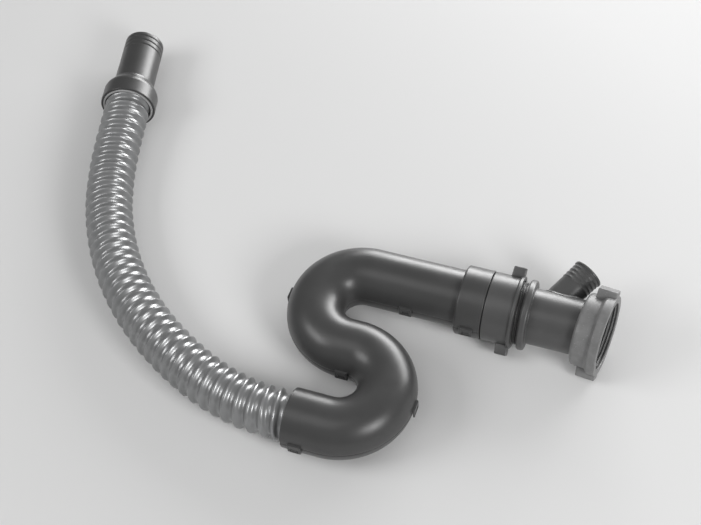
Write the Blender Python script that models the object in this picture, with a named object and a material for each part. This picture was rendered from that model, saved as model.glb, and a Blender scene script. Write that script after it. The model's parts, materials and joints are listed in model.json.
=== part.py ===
"""Drain trap: a clamshell S-bend around a corrugated hose, with a screwed inlet and a hose outlet.

All sizes are in metres. The rigid trap is modelled along its own inlet axis (+X towards the union
nut, the S-bend in the XY plane) under one tilted empty, because it lies on the floor on the nut's
rim and the first bend. The loose hose and its nozzle lie on the floor beside it. The origin ends up
at floor level, below the centre of the trap's box, without the loose hose and what is on its end.
"""

import math

import bmesh
import bpy
from mathutils import Matrix, Vector

MM = 0.001
GAP = 0.3 * MM
CUT_PAST = 2.0 * MM

# Corrugated hose, outside and wall
HOSE_R = 18.0 * MM
HOSE_WALL = 2.0 * MM

# S-bend shells: a tube around the hose, two half-turns joined by a short straight
SHELL_WALL = 2.7 * MM
BEND_R = 32.0 * MM
BEND_STEPS = 12
MIDDLE_STRAIGHT = 7.2 * MM
STUB_LENGTH = 25.2 * MM
COLLAR_START = 66.0 * MM
COLLAR_LENGTH = 19.4 * MM
COLLAR_WALL = 2.4 * MM
COLLAR_ROOM = 2.4 * MM
COLLAR_FLOOR_THICK = 2.3 * MM
COLLAR_CHAMFER = 0.9 * MM
WALL_STEP = 0.4 * MM
SECTION_SIDES = 24
HOSE_SIDES = 16
TURNED_SIDES = 28

# Snap clips along the shells' edges
CLIP_WIDTH = 9.6 * MM
CLIP_THICK = 1.9 * MM
CLIP_TOP = 3.0 * MM
CLIP_DROP = 6.0 * MM
CLIP_CLEAR = 0.05 * MM
CLIP_ROOT = 0.9 * MM
CLIP_UNDERCUT = 0.5 * MM
CLIP_CHAMFER = 0.9 * MM
CLIP_CHAMFER_HEIGHT = 1.2 * MM
WINDOW_WIDTH = 5.8 * MM
WINDOW_TOP = 1.2 * MM
WINDOW_HEIGHT = 3.2 * MM
WINDOW_CUT_START = 0.1 * MM
NIB_PROUD = 1.6 * MM
NIB_ROOT = 1.2 * MM
NIB_LEDGE = 0.5 * MM
NIB_FLAT = 0.9 * MM
INLET_CLIP_X = 30.0 * MM
STUB_NEAR_CLIP = 10.7 * MM
STUB_FAR_CLIP = 12.0 * MM

# End collar on the hose, with the flange that the coupling nut pulls
HOSE_INSERT = 7.7 * MM
END_SLEEVE_SETBACK = 1.7 * MM
END_SLEEVE_WALL = 2.1 * MM
END_FLANGE_THICK = 3.0 * MM
END_FLANGE_PROUD = 1.8 * MM
END_STOP_LIP = 2.4 * MM
HOSE_SEAL_THICK = 2.9 * MM
GASKET_THICK = 2.5 * MM

# Coupling nut
COUPLING_WALL = 2.4 * MM
COUPLING_GAP = 0.5 * MM
COUPLING_ROOM = 3.1 * MM
COUPLING_LIP = 3.0 * MM
COUPLING_LENGTH = 21.5 * MM
COUPLING_RIM_PROUD = 1.6 * MM
COUPLING_RIM_LENGTH = 2.3 * MM
COUPLING_LUG_PROUD = 7.0 * MM
COUPLING_HOLE_CLEARANCE = 0.4 * MM
COUPLING_LUG_LENGTH = 9.2 * MM
COUPLING_LUG_SETBACK = 1.0 * MM
COUPLING_LUG_ROOT = 0.8 * MM
COUPLING_CHAMFER = 0.6 * MM
COUPLING_RIM_STEP = 0.3 * MM
LUG_WIDTH = 10.0 * MM
COUPLING_LUG_ANGLE = 35.0

# Tailpiece: male thread, stop flange, tube, end flange and branch spigot
THREAD_PROUD = 0.4 * MM
THREAD_CLEARANCE = 0.35 * MM
THREAD_LENGTH = 13.9 * MM
THREAD_CHAMFER = 0.8 * MM
STOP_FLANGE_PROUD = 0.5 * MM
STOP_FLANGE_THICK = 4.8 * MM
TAIL_R = 20.0 * MM
TAIL_WALL = 2.5 * MM
TAIL_END_PROUD = 2.4 * MM
TAIL_END_THICK = 2.6 * MM
BRANCH_OFFSET = 7.2 * MM
BRANCH_ANGLE = 60.0
BRANCH_RISE = 15.0
BRANCH_REACH = 48.0 * MM
BRANCH_R = 11.0 * MM
BRANCH_BARB_R = 11.75 * MM
BRANCH_WALL = 2.2 * MM
BARB_COUNT = 4
BARB_PITCH = 3.2 * MM
BARB_FACE = 0.3 * MM
BARB_RAMP = 1.9 * MM
BARBS_TO_END = 1.6 * MM
BRANCH_LIP = 1.5 * MM
BRANCH_LIP_STEP = 0.2 * MM

# Union nut, hanging a little askew on the tailpiece, with its slip ring and the flat washer
NUT_WALL = 2.2 * MM
NUT_BORE_CLEARANCE = 1.8 * MM
NUT_RIM_PROUD = 3.0 * MM
NUT_SHOULDER = 2.7 * MM
NUT_LENGTH = 20.1 * MM
NUT_RIM_LENGTH = 6.2 * MM
NUT_HOLE_CLEARANCE = 0.9 * MM
NUT_STANDOFF = 0.4 * MM
NUT_TRAVEL = 3.0 * MM
NUT_YAW = -6.5
NUT_PITCH = 2.0
NUT_LUG_PROUD = 6.6 * MM
NUT_LUG_LENGTH = 14.3 * MM
NUT_LUG_ANGLE = 50.0
NUT_LUG_SETBACK = 0.3 * MM
NUT_LUG_ROOT = 0.9 * MM
NUT_CROWN = ((0.0, 2.8 * MM), (0.8 * MM, 1.2 * MM), (2.6 * MM, 0.0))
NUT_FLARE = 2.0 * MM
SLIP_RING_THICK = 1.5 * MM
SLIP_RING_PLAY = 0.4 * MM
WASHER_THICK = 2.6 * MM
WASHER_INSET = 0.4 * MM

# Outlet nozzle, its ring around the hose and its seal
CUFF_WALL = 1.6 * MM
CUFF_LENGTH = 14.5 * MM
CUFF_DEPTH = 17.0 * MM
CUFF_EDGE = 0.5 * MM
CUFF_EDGE_DROP = 0.4 * MM
SHOULDER_LENGTH = 8.6 * MM
SHOULDER_END = 2.4 * MM
SHOULDER_TOP_DROP = 1.6 * MM
SHOULDER_FOOT_RISE = 1.2 * MM
SPIGOT_LENGTH = 49.0 * MM
SPIGOT_R = 16.0 * MM
SPIGOT_WALL = 2.4 * MM
GROOVE_DEPTH = 0.6 * MM
GROOVE_COUNT = 3
GROOVE_PITCH = 4.8 * MM
GROOVE_WIDTH = 1.4 * MM
GROOVE_FACE = 0.2 * MM
TIP_ROUND = 1.4 * MM
TIP_DROP = 1.2 * MM
NOZZLE_RING_LENGTH = 6.6 * MM
NOZZLE_RING_OUT = 0.6 * MM
NOZZLE_RING_PLAY = 0.5 * MM
NOZZLE_RING_WALL = 1.6 * MM
HOSE_INTO_CUFF = 13.5 * MM

# Loose hose: where its middle line runs, from the stub's mouth along the floor to the nozzle
HOSE_ROUTE = (
    (0.0, 0.0, 0.0),
    (-0.0100, 0.0000, -0.0004),
    (-0.0200, 0.0000, -0.0008),
    (-0.0390, 0.0024, -0.0017),
    (-0.0649, 0.0096, -0.0029),
    (-0.0925, 0.0219, -0.0036),
    (-0.1192, 0.0376, -0.0036),
    (-0.1428, 0.0561, -0.0036),
    (-0.1638, 0.0775, -0.0036),
    (-0.1817, 0.1015, -0.0036),
    (-0.1969, 0.1284, -0.0036),
    (-0.2081, 0.1562, -0.0035),
    (-0.2161, 0.1836, -0.0018),
    (-0.2224, 0.2116, 0.0004),
    (-0.2292, 0.2403, 0.0005),
)
ROUTE_STEPS = 2

# Sizes that follow from the ones above
SHELL_BORE_R = HOSE_R + GAP
TUBE_R = SHELL_BORE_R + SHELL_WALL
HOSE_BORE_R = HOSE_R - HOSE_WALL
END_SLEEVE_R = SHELL_BORE_R + END_SLEEVE_WALL
END_FLANGE_R = END_SLEEVE_R + END_FLANGE_PROUD
END_STOP_BORE_R = HOSE_R - END_STOP_LIP
COLLAR_END = COLLAR_START + COLLAR_LENGTH
COLLAR_BORE_R = END_SLEEVE_R + COLLAR_ROOM
COLLAR_R = COLLAR_BORE_R + COLLAR_WALL
COLLAR_FLOOR = COLLAR_START + COLLAR_FLOOR_THICK
SLEEVE_START = COLLAR_FLOOR + END_SLEEVE_SETBACK
HOSE_END = SLEEVE_START + HOSE_INSERT
COUPLING_START = COLLAR_END + COUPLING_GAP
COUPLING_END = COUPLING_START + COUPLING_LENGTH
FLANGE_START = COUPLING_START + COUPLING_LIP + COUPLING_ROOM
FLANGE_END = FLANGE_START + END_FLANGE_THICK
GASKET_START = FLANGE_END + GAP
THREAD_R = END_FLANGE_R + THREAD_PROUD
COUPLING_BORE_R = THREAD_R + THREAD_CLEARANCE
COUPLING_R = THREAD_R + COUPLING_WALL
COUPLING_RIM_R = COUPLING_R + COUPLING_RIM_PROUD
COUPLING_LUG_R = COUPLING_R + COUPLING_LUG_PROUD
STOP_FLANGE_R = COUPLING_R + STOP_FLANGE_PROUD
TAIL_START = GASKET_START + GASKET_THICK + GAP
STOP_START = TAIL_START + THREAD_LENGTH
STOP_END = STOP_START + STOP_FLANGE_THICK
TAIL_BORE_R = TAIL_R - TAIL_WALL
TAIL_END_R = TAIL_R + TAIL_END_PROUD
NUT_HOLE_R = TAIL_R + NUT_HOLE_CLEARANCE
NUT_BORE_R = TAIL_END_R + NUT_BORE_CLEARANCE
NUT_R = NUT_BORE_R + NUT_WALL
NUT_RIM_R = NUT_R + NUT_RIM_PROUD
NUT_LUG_R = NUT_R + NUT_LUG_PROUD
LEAN = math.radians(BRANCH_ANGLE)
BRANCH_SIDE = BRANCH_OFFSET + NUT_R / math.tan(LEAN) + BRANCH_BARB_R / math.sin(LEAN)
NUT_PIVOT_X = STOP_END + BRANCH_SIDE + NUT_STANDOFF
NUT_ASKEW = NUT_BORE_R * math.sin(math.radians(abs(NUT_YAW)))
SLIP_RING_END = NUT_PIVOT_X + NUT_SHOULDER / 2 + GAP + SLIP_RING_THICK
TAIL_FLANGE_START = SLIP_RING_END + NUT_ASKEW + NUT_TRAVEL + GAP
TAIL_END = TAIL_FLANGE_START + TAIL_END_THICK
STUB_X = MIDDLE_STRAIGHT - STUB_LENGTH
OUTLET_Y = -4.0 * BEND_R
NOZZLE_BORE_R = SPIGOT_R - SPIGOT_WALL
CUFF_BORE_R = HOSE_R + NOZZLE_RING_PLAY + NOZZLE_RING_WALL + GAP
CUFF_R = CUFF_BORE_R + CUFF_WALL
NUT_RIM_X = NUT_PIVOT_X + NUT_LENGTH - NUT_RIM_LENGTH
NUT_DROOP = (NUT_LENGTH - NUT_RIM_LENGTH) * math.sin(math.radians(NUT_PITCH))
TILT = math.asin((NUT_RIM_R - TUBE_R - NUT_DROOP) / (BEND_R + NUT_RIM_X))
AXIS_HEIGHT = TUBE_R + BEND_R * math.sin(TILT)

DARK_SHELL = ((0.075, 0.075, 0.077), 0.42)
DARK_FITTING = ((0.09, 0.09, 0.092), 0.45)
NUT_GREY = ((0.115, 0.115, 0.118), 0.5)
RUBBER = ((0.02, 0.02, 0.02), 0.75)
HOSE_SILVER = ((0.38, 0.38, 0.385), 0.3)
PALE_RING = ((0.42, 0.42, 0.42), 0.4)


# ---------------------------------------------------------------- scene helpers


def clear_scene():
    """Remove whatever objects the file opened with."""
    for item in list(bpy.data.objects):
        bpy.data.objects.remove(item, do_unlink=True)


def link(item, parent=None, location=(0.0, 0.0, 0.0), rotation=(0.0, 0.0, 0.0)):
    """Put an object in the scene, under its parent, at its place."""
    bpy.context.scene.collection.objects.link(item)
    item.parent = parent
    item.location = location
    item.rotation_euler = rotation
    return item


def empty(name, parent=None, location=(0.0, 0.0, 0.0), rotation=(0.0, 0.0, 0.0)):
    """An empty that other objects hang from."""
    return link(bpy.data.objects.new(name, None), parent, location, rotation)


def finish_material(name, look):
    """A plain plastic or rubber: colour and roughness."""
    colour, roughness = look
    material = bpy.data.materials.new(name)
    material.use_nodes = True
    shader = material.node_tree.nodes["Principled BSDF"]
    shader.inputs["Base Color"].default_value = (*colour, 1.0)
    shader.inputs["Roughness"].default_value = roughness
    shader.inputs["Metallic"].default_value = 0.0
    return material


def mesh_from(name, bm):
    """Turn a bmesh into a mesh whose faces point out and whose round faces are smooth."""
    bmesh.ops.recalc_face_normals(bm, faces=bm.faces)
    mesh = bpy.data.meshes.new(name)
    bm.to_mesh(mesh)
    bm.free()
    mesh.shade_smooth()
    mesh.set_sharp_from_angle(angle=math.radians(35.0))
    return mesh


def solid(name, bm, look, parent, **place):
    """A finished sub-part: its mesh, its own material, its place under its parent."""
    item = link(bpy.data.objects.new(name, mesh_from(name, bm)), parent, **place)
    item.data.materials.append(finish_material(name, look))
    return item


def cutter(name, bm, parent, **place):
    """A hidden body that a Boolean modifier joins to or cuts from a sub-part."""
    item = link(bpy.data.objects.new(name, mesh_from(name, bm)), parent, **place)
    item.hide_render = True
    item.display_type = "WIRE"
    return item


def boolean(item, operation, other):
    """Join or cut with another object, with the exact solver."""
    modifier = item.modifiers.new(operation.lower(), "BOOLEAN")
    modifier.operation = operation
    modifier.solver = "EXACT"
    modifier.object = other


# ---------------------------------------------------------------- shape helpers


def ring(bm, centre, across, up, radius_points):
    """One closed ring of vertices: each (sideways, up) offset from the centre."""
    return [bm.verts.new(centre + across * u + up * v) for u, v in radius_points]


def bridge(bm, first, second):
    """Quads between two rings with the same number of vertices."""
    count = len(first)
    for i in range(count):
        j = (i + 1) % count
        bm.faces.new((first[i], first[j], second[j], second[i]))


def turned(profile, sides=TURNED_SIDES):
    """A closed ring-shaped body: a closed outline of (x, radius) turned about the X axis."""
    bm = bmesh.new()
    rings = []
    for step in range(sides):
        angle = 2.0 * math.pi * step / sides
        c, s = math.cos(angle), math.sin(angle)
        rings.append([bm.verts.new((x, r * c, r * s)) for x, r in profile])
    for first, second in zip(rings, rings[1:] + rings[:1]):
        bridge(bm, first, second)
    return bm


def turned_solid(profile, sides=TURNED_SIDES):
    """A full body without a bore: an open outline of (x, radius) turned, with flat ends."""
    bm = bmesh.new()
    circle = [2.0 * math.pi * i / sides for i in range(sides)]
    rings = []
    for x, r in profile:
        points = [(r * math.cos(a), r * math.sin(a)) for a in circle]
        rings.append(ring(bm, Vector((x, 0, 0)), Vector((0, 1, 0)), Vector((0, 0, 1)), points))
    for first, second in zip(rings, rings[1:]):
        bridge(bm, first, second)
    bm.faces.new(rings[0])
    bm.faces.new(rings[-1])
    return bm


def prism(bm, origin, along, outward, outline, width):
    """A bar of the given width along its path: an outline of (outward, height) points."""
    up = Vector((0, 0, 1))
    ends = []
    for side in (-0.5, 0.5):
        ends.append(ring(bm, origin + along * (side * width), outward, up, outline))
    bridge(bm, ends[0], ends[1])
    bm.faces.new(ends[0])
    bm.faces.new(ends[1])


def box(bm, low, high):
    """An axis-aligned block between two corners."""
    size = Vector(high) - Vector(low)
    place = Matrix.Translation((Vector(high) + Vector(low)) / 2) @ Matrix.Diagonal((*size, 1.0))
    bmesh.ops.create_cube(bm, size=1.0, matrix=place)


def lugs(radius_in, radius_out, start, length, angle):
    """Two blocks on opposite sides of the X axis, turned to the given angle."""
    bm = bmesh.new()
    half = LUG_WIDTH / 2
    box(bm, (start, radius_in, -half), (start + length, radius_out, half))
    box(bm, (start, -radius_out, -half), (start + length, -radius_in, half))
    turn = Matrix.Rotation(math.radians(angle), 4, "X")
    bmesh.ops.transform(bm, matrix=turn, verts=bm.verts)
    return bm


# ---------------------------------------------------------------- the S-bend's path


def bend_points(centre, start_angle, turn):
    """Middle-line points and directions of one half-turn, without its first point."""
    points = []
    for step in range(1, BEND_STEPS + 1):
        angle = start_angle + turn * step / BEND_STEPS
        radial = Vector((math.cos(angle), math.sin(angle), 0.0))
        along = Vector((-radial.y, radial.x, 0.0)) * math.copysign(1.0, turn)
        points.append((centre + radial * BEND_R, along))
    return points


def path_of(inlet_stations):
    """The S from the inlet stations (distances along X) to the stub's mouth."""
    first_centre = Vector((0.0, -BEND_R, 0.0))
    second_centre = Vector((MIDDLE_STRAIGHT, -3.0 * BEND_R, 0.0))
    points = [(Vector((x, 0.0, 0.0)), Vector((-1.0, 0.0, 0.0))) for x in inlet_stations]
    points.append((Vector((0.0, 0.0, 0.0)), Vector((-1.0, 0.0, 0.0))))
    points += bend_points(first_centre, math.pi / 2, math.pi)
    points.append((Vector((MIDDLE_STRAIGHT, -2.0 * BEND_R, 0.0)), Vector((1.0, 0.0, 0.0))))
    points += bend_points(second_centre, math.pi / 2, -math.pi)
    points.append((Vector((STUB_X, OUTLET_Y, 0.0)), Vector((-1.0, 0.0, 0.0))))
    return points


def swept(path, sections):
    """A body whose section outline changes along the path; both ends are closed."""
    bm = bmesh.new()
    up = Vector((0, 0, 1))
    rings = []
    for (point, along), outline in zip(path, sections):
        rings.append(ring(bm, point, up.cross(along), up, outline))
    for first, second in zip(rings, rings[1:]):
        bridge(bm, first, second)
    bm.faces.new(rings[0])
    bm.faces.new(rings[-1])
    return bm


def half_section(outer_r, bore_r, side):
    """Half of a pipe wall, above (side 1) or below (side -1) the plane where the shells meet."""
    steps = SECTION_SIDES // 2
    angles = [math.pi * i / steps for i in range(steps + 1)]
    outline = []
    for radius, order in ((outer_r, angles), (bore_r, angles[::-1])):
        for angle in order:
            height = max(radius * math.sin(angle), GAP / 2)
            outline.append((radius * math.cos(angle), side * height))
    return outline


# ---------------------------------------------------------------- sub-parts


def shell_stations():
    """Inlet stations of a shell: (x, outer radius, bore radius), from the collar's mouth inwards."""
    return (
        (COLLAR_END, COLLAR_R, COLLAR_BORE_R),
        (COLLAR_FLOOR + WALL_STEP, COLLAR_R, COLLAR_BORE_R),
        (COLLAR_FLOOR, COLLAR_R, SHELL_BORE_R),
        (COLLAR_START + COLLAR_CHAMFER, COLLAR_R, SHELL_BORE_R),
        (COLLAR_START, COLLAR_R - COLLAR_CHAMFER, SHELL_BORE_R),
        (COLLAR_START - WALL_STEP, TUBE_R, SHELL_BORE_R),
    )


def shell_body(side):
    """One half shell, without its clips or nibs."""
    stations = shell_stations()
    path = path_of([x for x, _, _ in stations])
    radii = [(outer, bore) for _, outer, bore in stations]
    radii += [(TUBE_R, SHELL_BORE_R)] * (len(path) - len(radii))
    return swept(path, [half_section(outer, bore, side) for outer, bore in radii])


def clip_places():
    """Where the clips sit: (point on the middle line, direction along it, outward, tube radius)."""
    ahead, left = Vector((1, 0, 0)), Vector((0, 1, 0))
    collar_middle = (COLLAR_START + COLLAR_END) / 2
    places = []
    for x, radius in ((INLET_CLIP_X, TUBE_R), (collar_middle, COLLAR_R)):
        for side in (-1, 1):
            places.append((Vector((x, 0, 0)), ahead, left * side, radius))
    first_bend = Vector((-BEND_R, -BEND_R, 0))
    places.append((first_bend, left, ahead * -1, TUBE_R))
    middle = Vector((MIDDLE_STRAIGHT / 2, -2 * BEND_R, 0))
    for side in (-1, 1):
        places.append((middle, ahead, left * side, TUBE_R))
    second_bend = Vector((MIDDLE_STRAIGHT + BEND_R, -3 * BEND_R, 0))
    places.append((second_bend, left, ahead, TUBE_R))
    places.append((Vector((STUB_X + STUB_NEAR_CLIP, OUTLET_Y, 0)), ahead, left * -1, TUBE_R))
    places.append((Vector((STUB_X + STUB_FAR_CLIP, OUTLET_Y, 0)), ahead, left, TUBE_R))
    return places


def clip_tabs():
    """Tabs that hang from the upper shell over the lower one."""
    bm = bmesh.new()
    for point, along, outward, radius in clip_places():
        inside, near = radius - CLIP_ROOT, radius + GAP + CLIP_CLEAR
        far = near + CLIP_THICK
        outline = (
            (inside, CLIP_TOP),
            (far - CLIP_CHAMFER, CLIP_TOP),
            (far, CLIP_TOP - CLIP_CHAMFER_HEIGHT),
            (far, -CLIP_DROP),
            (near, -CLIP_DROP),
            (near, CLIP_UNDERCUT),
            (inside, CLIP_UNDERCUT),
        )
        prism(bm, point, along, outward, outline, CLIP_WIDTH)
    return bm


def clip_windows():
    """The openings in the tabs."""
    bm = bmesh.new()
    for point, along, outward, radius in clip_places():
        near, far = radius + WINDOW_CUT_START, radius + CLIP_THICK + CUT_PAST
        top, bottom = -WINDOW_TOP, -WINDOW_TOP - WINDOW_HEIGHT
        outline = ((near, top), (far, top), (far, bottom), (near, bottom))
        prism(bm, point, along, outward, outline, WINDOW_WIDTH)
    return bm


def catch_nibs():
    """Nibs on the lower shell that fill the windows, with a ramp for the tab to ride over."""
    bm = bmesh.new()
    for point, along, outward, radius in clip_places():
        root, crest = radius - NIB_ROOT, radius + NIB_PROUD
        top = -WINDOW_TOP - GAP
        bottom = -WINDOW_TOP - WINDOW_HEIGHT + GAP
        outline = (
            (root, top),
            (radius + NIB_LEDGE, top),
            (crest, bottom + NIB_FLAT),
            (crest, bottom),
            (root, bottom),
        )
        prism(bm, point, along, outward, outline, WINDOW_WIDTH - 2 * GAP)
    return bm


def build_shells(trap):
    """The two half shells of the S-bend with their clips."""
    upper = solid("shell_upper", shell_body(1), DARK_SHELL, trap)
    boolean(upper, "UNION", cutter("clip_tabs", clip_tabs(), trap))
    boolean(upper, "DIFFERENCE", cutter("clip_windows", clip_windows(), trap))
    lower = solid("shell_lower", shell_body(-1), DARK_SHELL, trap)
    boolean(lower, "UNION", cutter("catch_nibs", catch_nibs(), trap))


def build_held_hose(trap):
    """The stretch of hose that the shells hold in the S, open at both ends."""
    path = path_of([HOSE_END])
    path[-1] = (Vector((STUB_X + GAP / 2, OUTLET_Y, 0.0)), path[-1][1])
    bm = bmesh.new()
    up = Vector((0, 0, 1))
    circle = [2.0 * math.pi * i / HOSE_SIDES for i in range(HOSE_SIDES)]
    walls = []
    for radius in (HOSE_R, HOSE_BORE_R):
        points = [(radius * math.cos(a), radius * math.sin(a)) for a in circle]
        walls.append([ring(bm, point, up.cross(along), up, points) for point, along in path])
    for wall in walls:
        for first, second in zip(wall, wall[1:]):
            bridge(bm, first, second)
    for end in (0, -1):
        bridge(bm, walls[0][end], walls[1][end])
    solid("hose_in_trap", bm, HOSE_SILVER, trap)


def build_end_collar(trap):
    """Sleeve, stop and flange on the hose's inlet end, and the seal behind the hose's end."""
    stop = HOSE_END + GAP + HOSE_SEAL_THICK + GAP
    profile = (
        (SLEEVE_START, END_SLEEVE_R),
        (FLANGE_START, END_SLEEVE_R),
        (FLANGE_START, END_FLANGE_R),
        (FLANGE_END, END_FLANGE_R),
        (FLANGE_END, END_STOP_BORE_R),
        (stop, END_STOP_BORE_R),
        (stop, SHELL_BORE_R),
        (SLEEVE_START, SHELL_BORE_R),
    )
    solid("hose_end_collar", turned(profile), DARK_FITTING, trap)
    low, high = HOSE_END + GAP, stop - GAP
    seal = ((low, HOSE_R), (high, HOSE_R), (high, HOSE_BORE_R), (low, HOSE_BORE_R))
    solid("hose_seal", turned(seal), RUBBER, trap)


def build_coupling(trap):
    """Coupling nut with two lugs, and the flat gasket it squeezes."""
    lip_r = END_SLEEVE_R + COUPLING_HOLE_CLEARANCE
    rim_start = COUPLING_END - COUPLING_RIM_LENGTH
    profile = (
        (COUPLING_START, COUPLING_R - COUPLING_CHAMFER),
        (COUPLING_START + COUPLING_CHAMFER, COUPLING_R),
        (rim_start - COUPLING_RIM_STEP, COUPLING_R),
        (rim_start, COUPLING_RIM_R),
        (COUPLING_END, COUPLING_RIM_R),
        (COUPLING_END, COUPLING_BORE_R),
        (COUPLING_START + COUPLING_LIP, COUPLING_BORE_R),
        (COUPLING_START + COUPLING_LIP, lip_r),
        (COUPLING_START, lip_r),
    )
    nut = solid("coupling_nut", turned(profile), DARK_FITTING, trap)
    start = COUPLING_END - COUPLING_LUG_SETBACK - COUPLING_LUG_LENGTH
    root = COUPLING_R - COUPLING_LUG_ROOT
    blocks = lugs(root, COUPLING_LUG_R, start, COUPLING_LUG_LENGTH, COUPLING_LUG_ANGLE)
    boolean(nut, "UNION", cutter("coupling_lugs", blocks, trap))
    low, high = GASKET_START, GASKET_START + GASKET_THICK
    gasket = ((low, END_FLANGE_R), (high, END_FLANGE_R), (high, HOSE_BORE_R), (low, HOSE_BORE_R))
    solid("coupling_gasket", turned(gasket), RUBBER, trap)


def branch_profile(start, end):
    """Outline of the branch: a tube with barbs and an end lip, along its own X axis."""
    points = [(start, BRANCH_R)]
    first = end - BARBS_TO_END - BARB_COUNT * BARB_PITCH
    for barb in range(BARB_COUNT):
        low = first + barb * BARB_PITCH
        crest = low + BARB_FACE
        points += [(low, BRANCH_R), (crest, BRANCH_BARB_R), (crest + BARB_RAMP, BRANCH_R)]
    lip = end - BRANCH_LIP
    points += [(lip - BRANCH_LIP_STEP, BRANCH_R), (lip, BRANCH_BARB_R), (end, BRANCH_BARB_R)]
    return points


def build_tailpiece(trap):
    """Threaded tailpiece with its stop flange, end flange and branch spigot."""
    profile = (
        (TAIL_START, THREAD_R - THREAD_CHAMFER),
        (TAIL_START + THREAD_CHAMFER, THREAD_R),
        (STOP_START, THREAD_R),
        (STOP_START, STOP_FLANGE_R),
        (STOP_END, STOP_FLANGE_R),
        (STOP_END, TAIL_R),
        (TAIL_FLANGE_START, TAIL_R),
        (TAIL_FLANGE_START, TAIL_END_R),
        (TAIL_END, TAIL_END_R),
    )
    tail = solid("tailpiece", turned_solid(profile), DARK_FITTING, trap)
    rise = empty("branch_rise", trap, location=(STOP_END + BRANCH_OFFSET, 0, 0))
    rise.rotation_euler = (math.radians(BRANCH_RISE), 0.0, 0.0)
    lean = (0.0, 0.0, LEAN)
    start = TAIL_BORE_R / 2
    outside = turned_solid(branch_profile(start, BRANCH_REACH), SECTION_SIDES)
    bore_r = BRANCH_R - BRANCH_WALL
    inside = turned_solid(((0.0, bore_r), (BRANCH_REACH + CUT_PAST, bore_r)), SECTION_SIDES)
    through = ((TAIL_START - CUT_PAST, TAIL_BORE_R), (TAIL_END + CUT_PAST, TAIL_BORE_R))
    boolean(tail, "UNION", cutter("branch_outside", outside, rise, rotation=lean))
    boolean(tail, "DIFFERENCE", cutter("tail_bore", turned_solid(through), trap))
    boolean(tail, "DIFFERENCE", cutter("branch_bore", inside, rise, rotation=lean))
    low, high = TAIL_END + GAP, TAIL_END + GAP + WASHER_THICK
    outer_r = TAIL_END_R - WASHER_INSET
    washer = ((low, outer_r), (high, outer_r), (high, TAIL_BORE_R), (low, TAIL_BORE_R))
    solid("union_washer", turned(washer), RUBBER, trap)


def build_union_nut(trap):
    """Union nut with a rounded shoulder, a flared rim and two lugs, and the slip ring inside it."""
    place = {
        "location": (NUT_PIVOT_X, 0.0, 0.0),
        "rotation": (0.0, math.radians(-NUT_PITCH), math.radians(NUT_YAW)),
    }
    pivot = empty("union_nut_axis", trap, **place)
    left = -NUT_SHOULDER / 2
    right = left + NUT_LENGTH
    rim = right - NUT_RIM_LENGTH
    floor = left + NUT_SHOULDER
    profile = (
        *((left + run, NUT_R - drop) for run, drop in NUT_CROWN),
        (rim - NUT_FLARE, NUT_R),
        (rim, NUT_RIM_R),
        (right, NUT_RIM_R),
        (right, NUT_BORE_R),
        (floor, NUT_BORE_R),
        (floor, NUT_HOLE_R),
        (left, NUT_HOLE_R),
    )
    nut = solid("union_nut", turned(profile), NUT_GREY, pivot)
    start = right - NUT_LUG_SETBACK - NUT_LUG_LENGTH
    blocks = lugs(NUT_R - NUT_LUG_ROOT, NUT_LUG_R, start, NUT_LUG_LENGTH, NUT_LUG_ANGLE)
    boolean(nut, "UNION", cutter("union_lugs", blocks, pivot))
    low, high = floor + GAP, floor + GAP + SLIP_RING_THICK
    outer_r = NUT_BORE_R - SLIP_RING_PLAY
    slip = ((low, outer_r), (high, outer_r), (high, NUT_HOLE_R), (low, NUT_HOLE_R))
    solid("union_slip_ring", turned(slip), PALE_RING, pivot)


# ---------------------------------------------------------------- loose hose and nozzle


def smooth_route(points, steps):
    """Points of a smooth curve through the route's own points (uniform Catmull-Rom)."""
    knots = [Vector(p) for p in points]
    knots = [2 * knots[0] - knots[1], *knots, 2 * knots[-1] - knots[-2]]
    curve = []
    for i in range(1, len(knots) - 2):
        a, b, c, d = knots[i - 1 : i + 3]
        for step in range(steps):
            t = step / steps
            near = 2 * b + (c - a) * t + (2 * a - 5 * b + 4 * c - d) * t * t
            curve.append((near + (3 * b - a - 3 * c + d) * t**3) / 2)
    curve.append(knots[-2])
    return curve


def build_loose_hose(mouth):
    """The free stretch of hose, a plain open tube on the floor."""
    curve = bpy.data.curves.new("drain_hose", "CURVE")
    curve.dimensions = "3D"
    curve.bevel_depth = HOSE_R
    curve.bevel_resolution = 4
    curve.use_fill_caps = False
    spline = curve.splines.new("POLY")
    points = smooth_route(HOSE_ROUTE, ROUTE_STEPS)
    slope = (points[1].z - points[0].z) / (points[1].x - points[0].x)
    points[0] = points[0] - Vector((GAP + HOSE_R * abs(math.tan(TILT) - slope), 0.0, 0.0))
    spline.points.add(len(points) - 1)
    for target, point in zip(spline.points, points):
        target.co = (*point, 1.0)
    hose = link(bpy.data.objects.new("drain_hose", curve), mouth)
    curve.materials.append(finish_material("drain_hose", HOSE_SILVER))
    wall = hose.modifiers.new("wall", "SOLIDIFY")
    wall.thickness = HOSE_WALL
    wall.offset = -1.0
    return points


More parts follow.
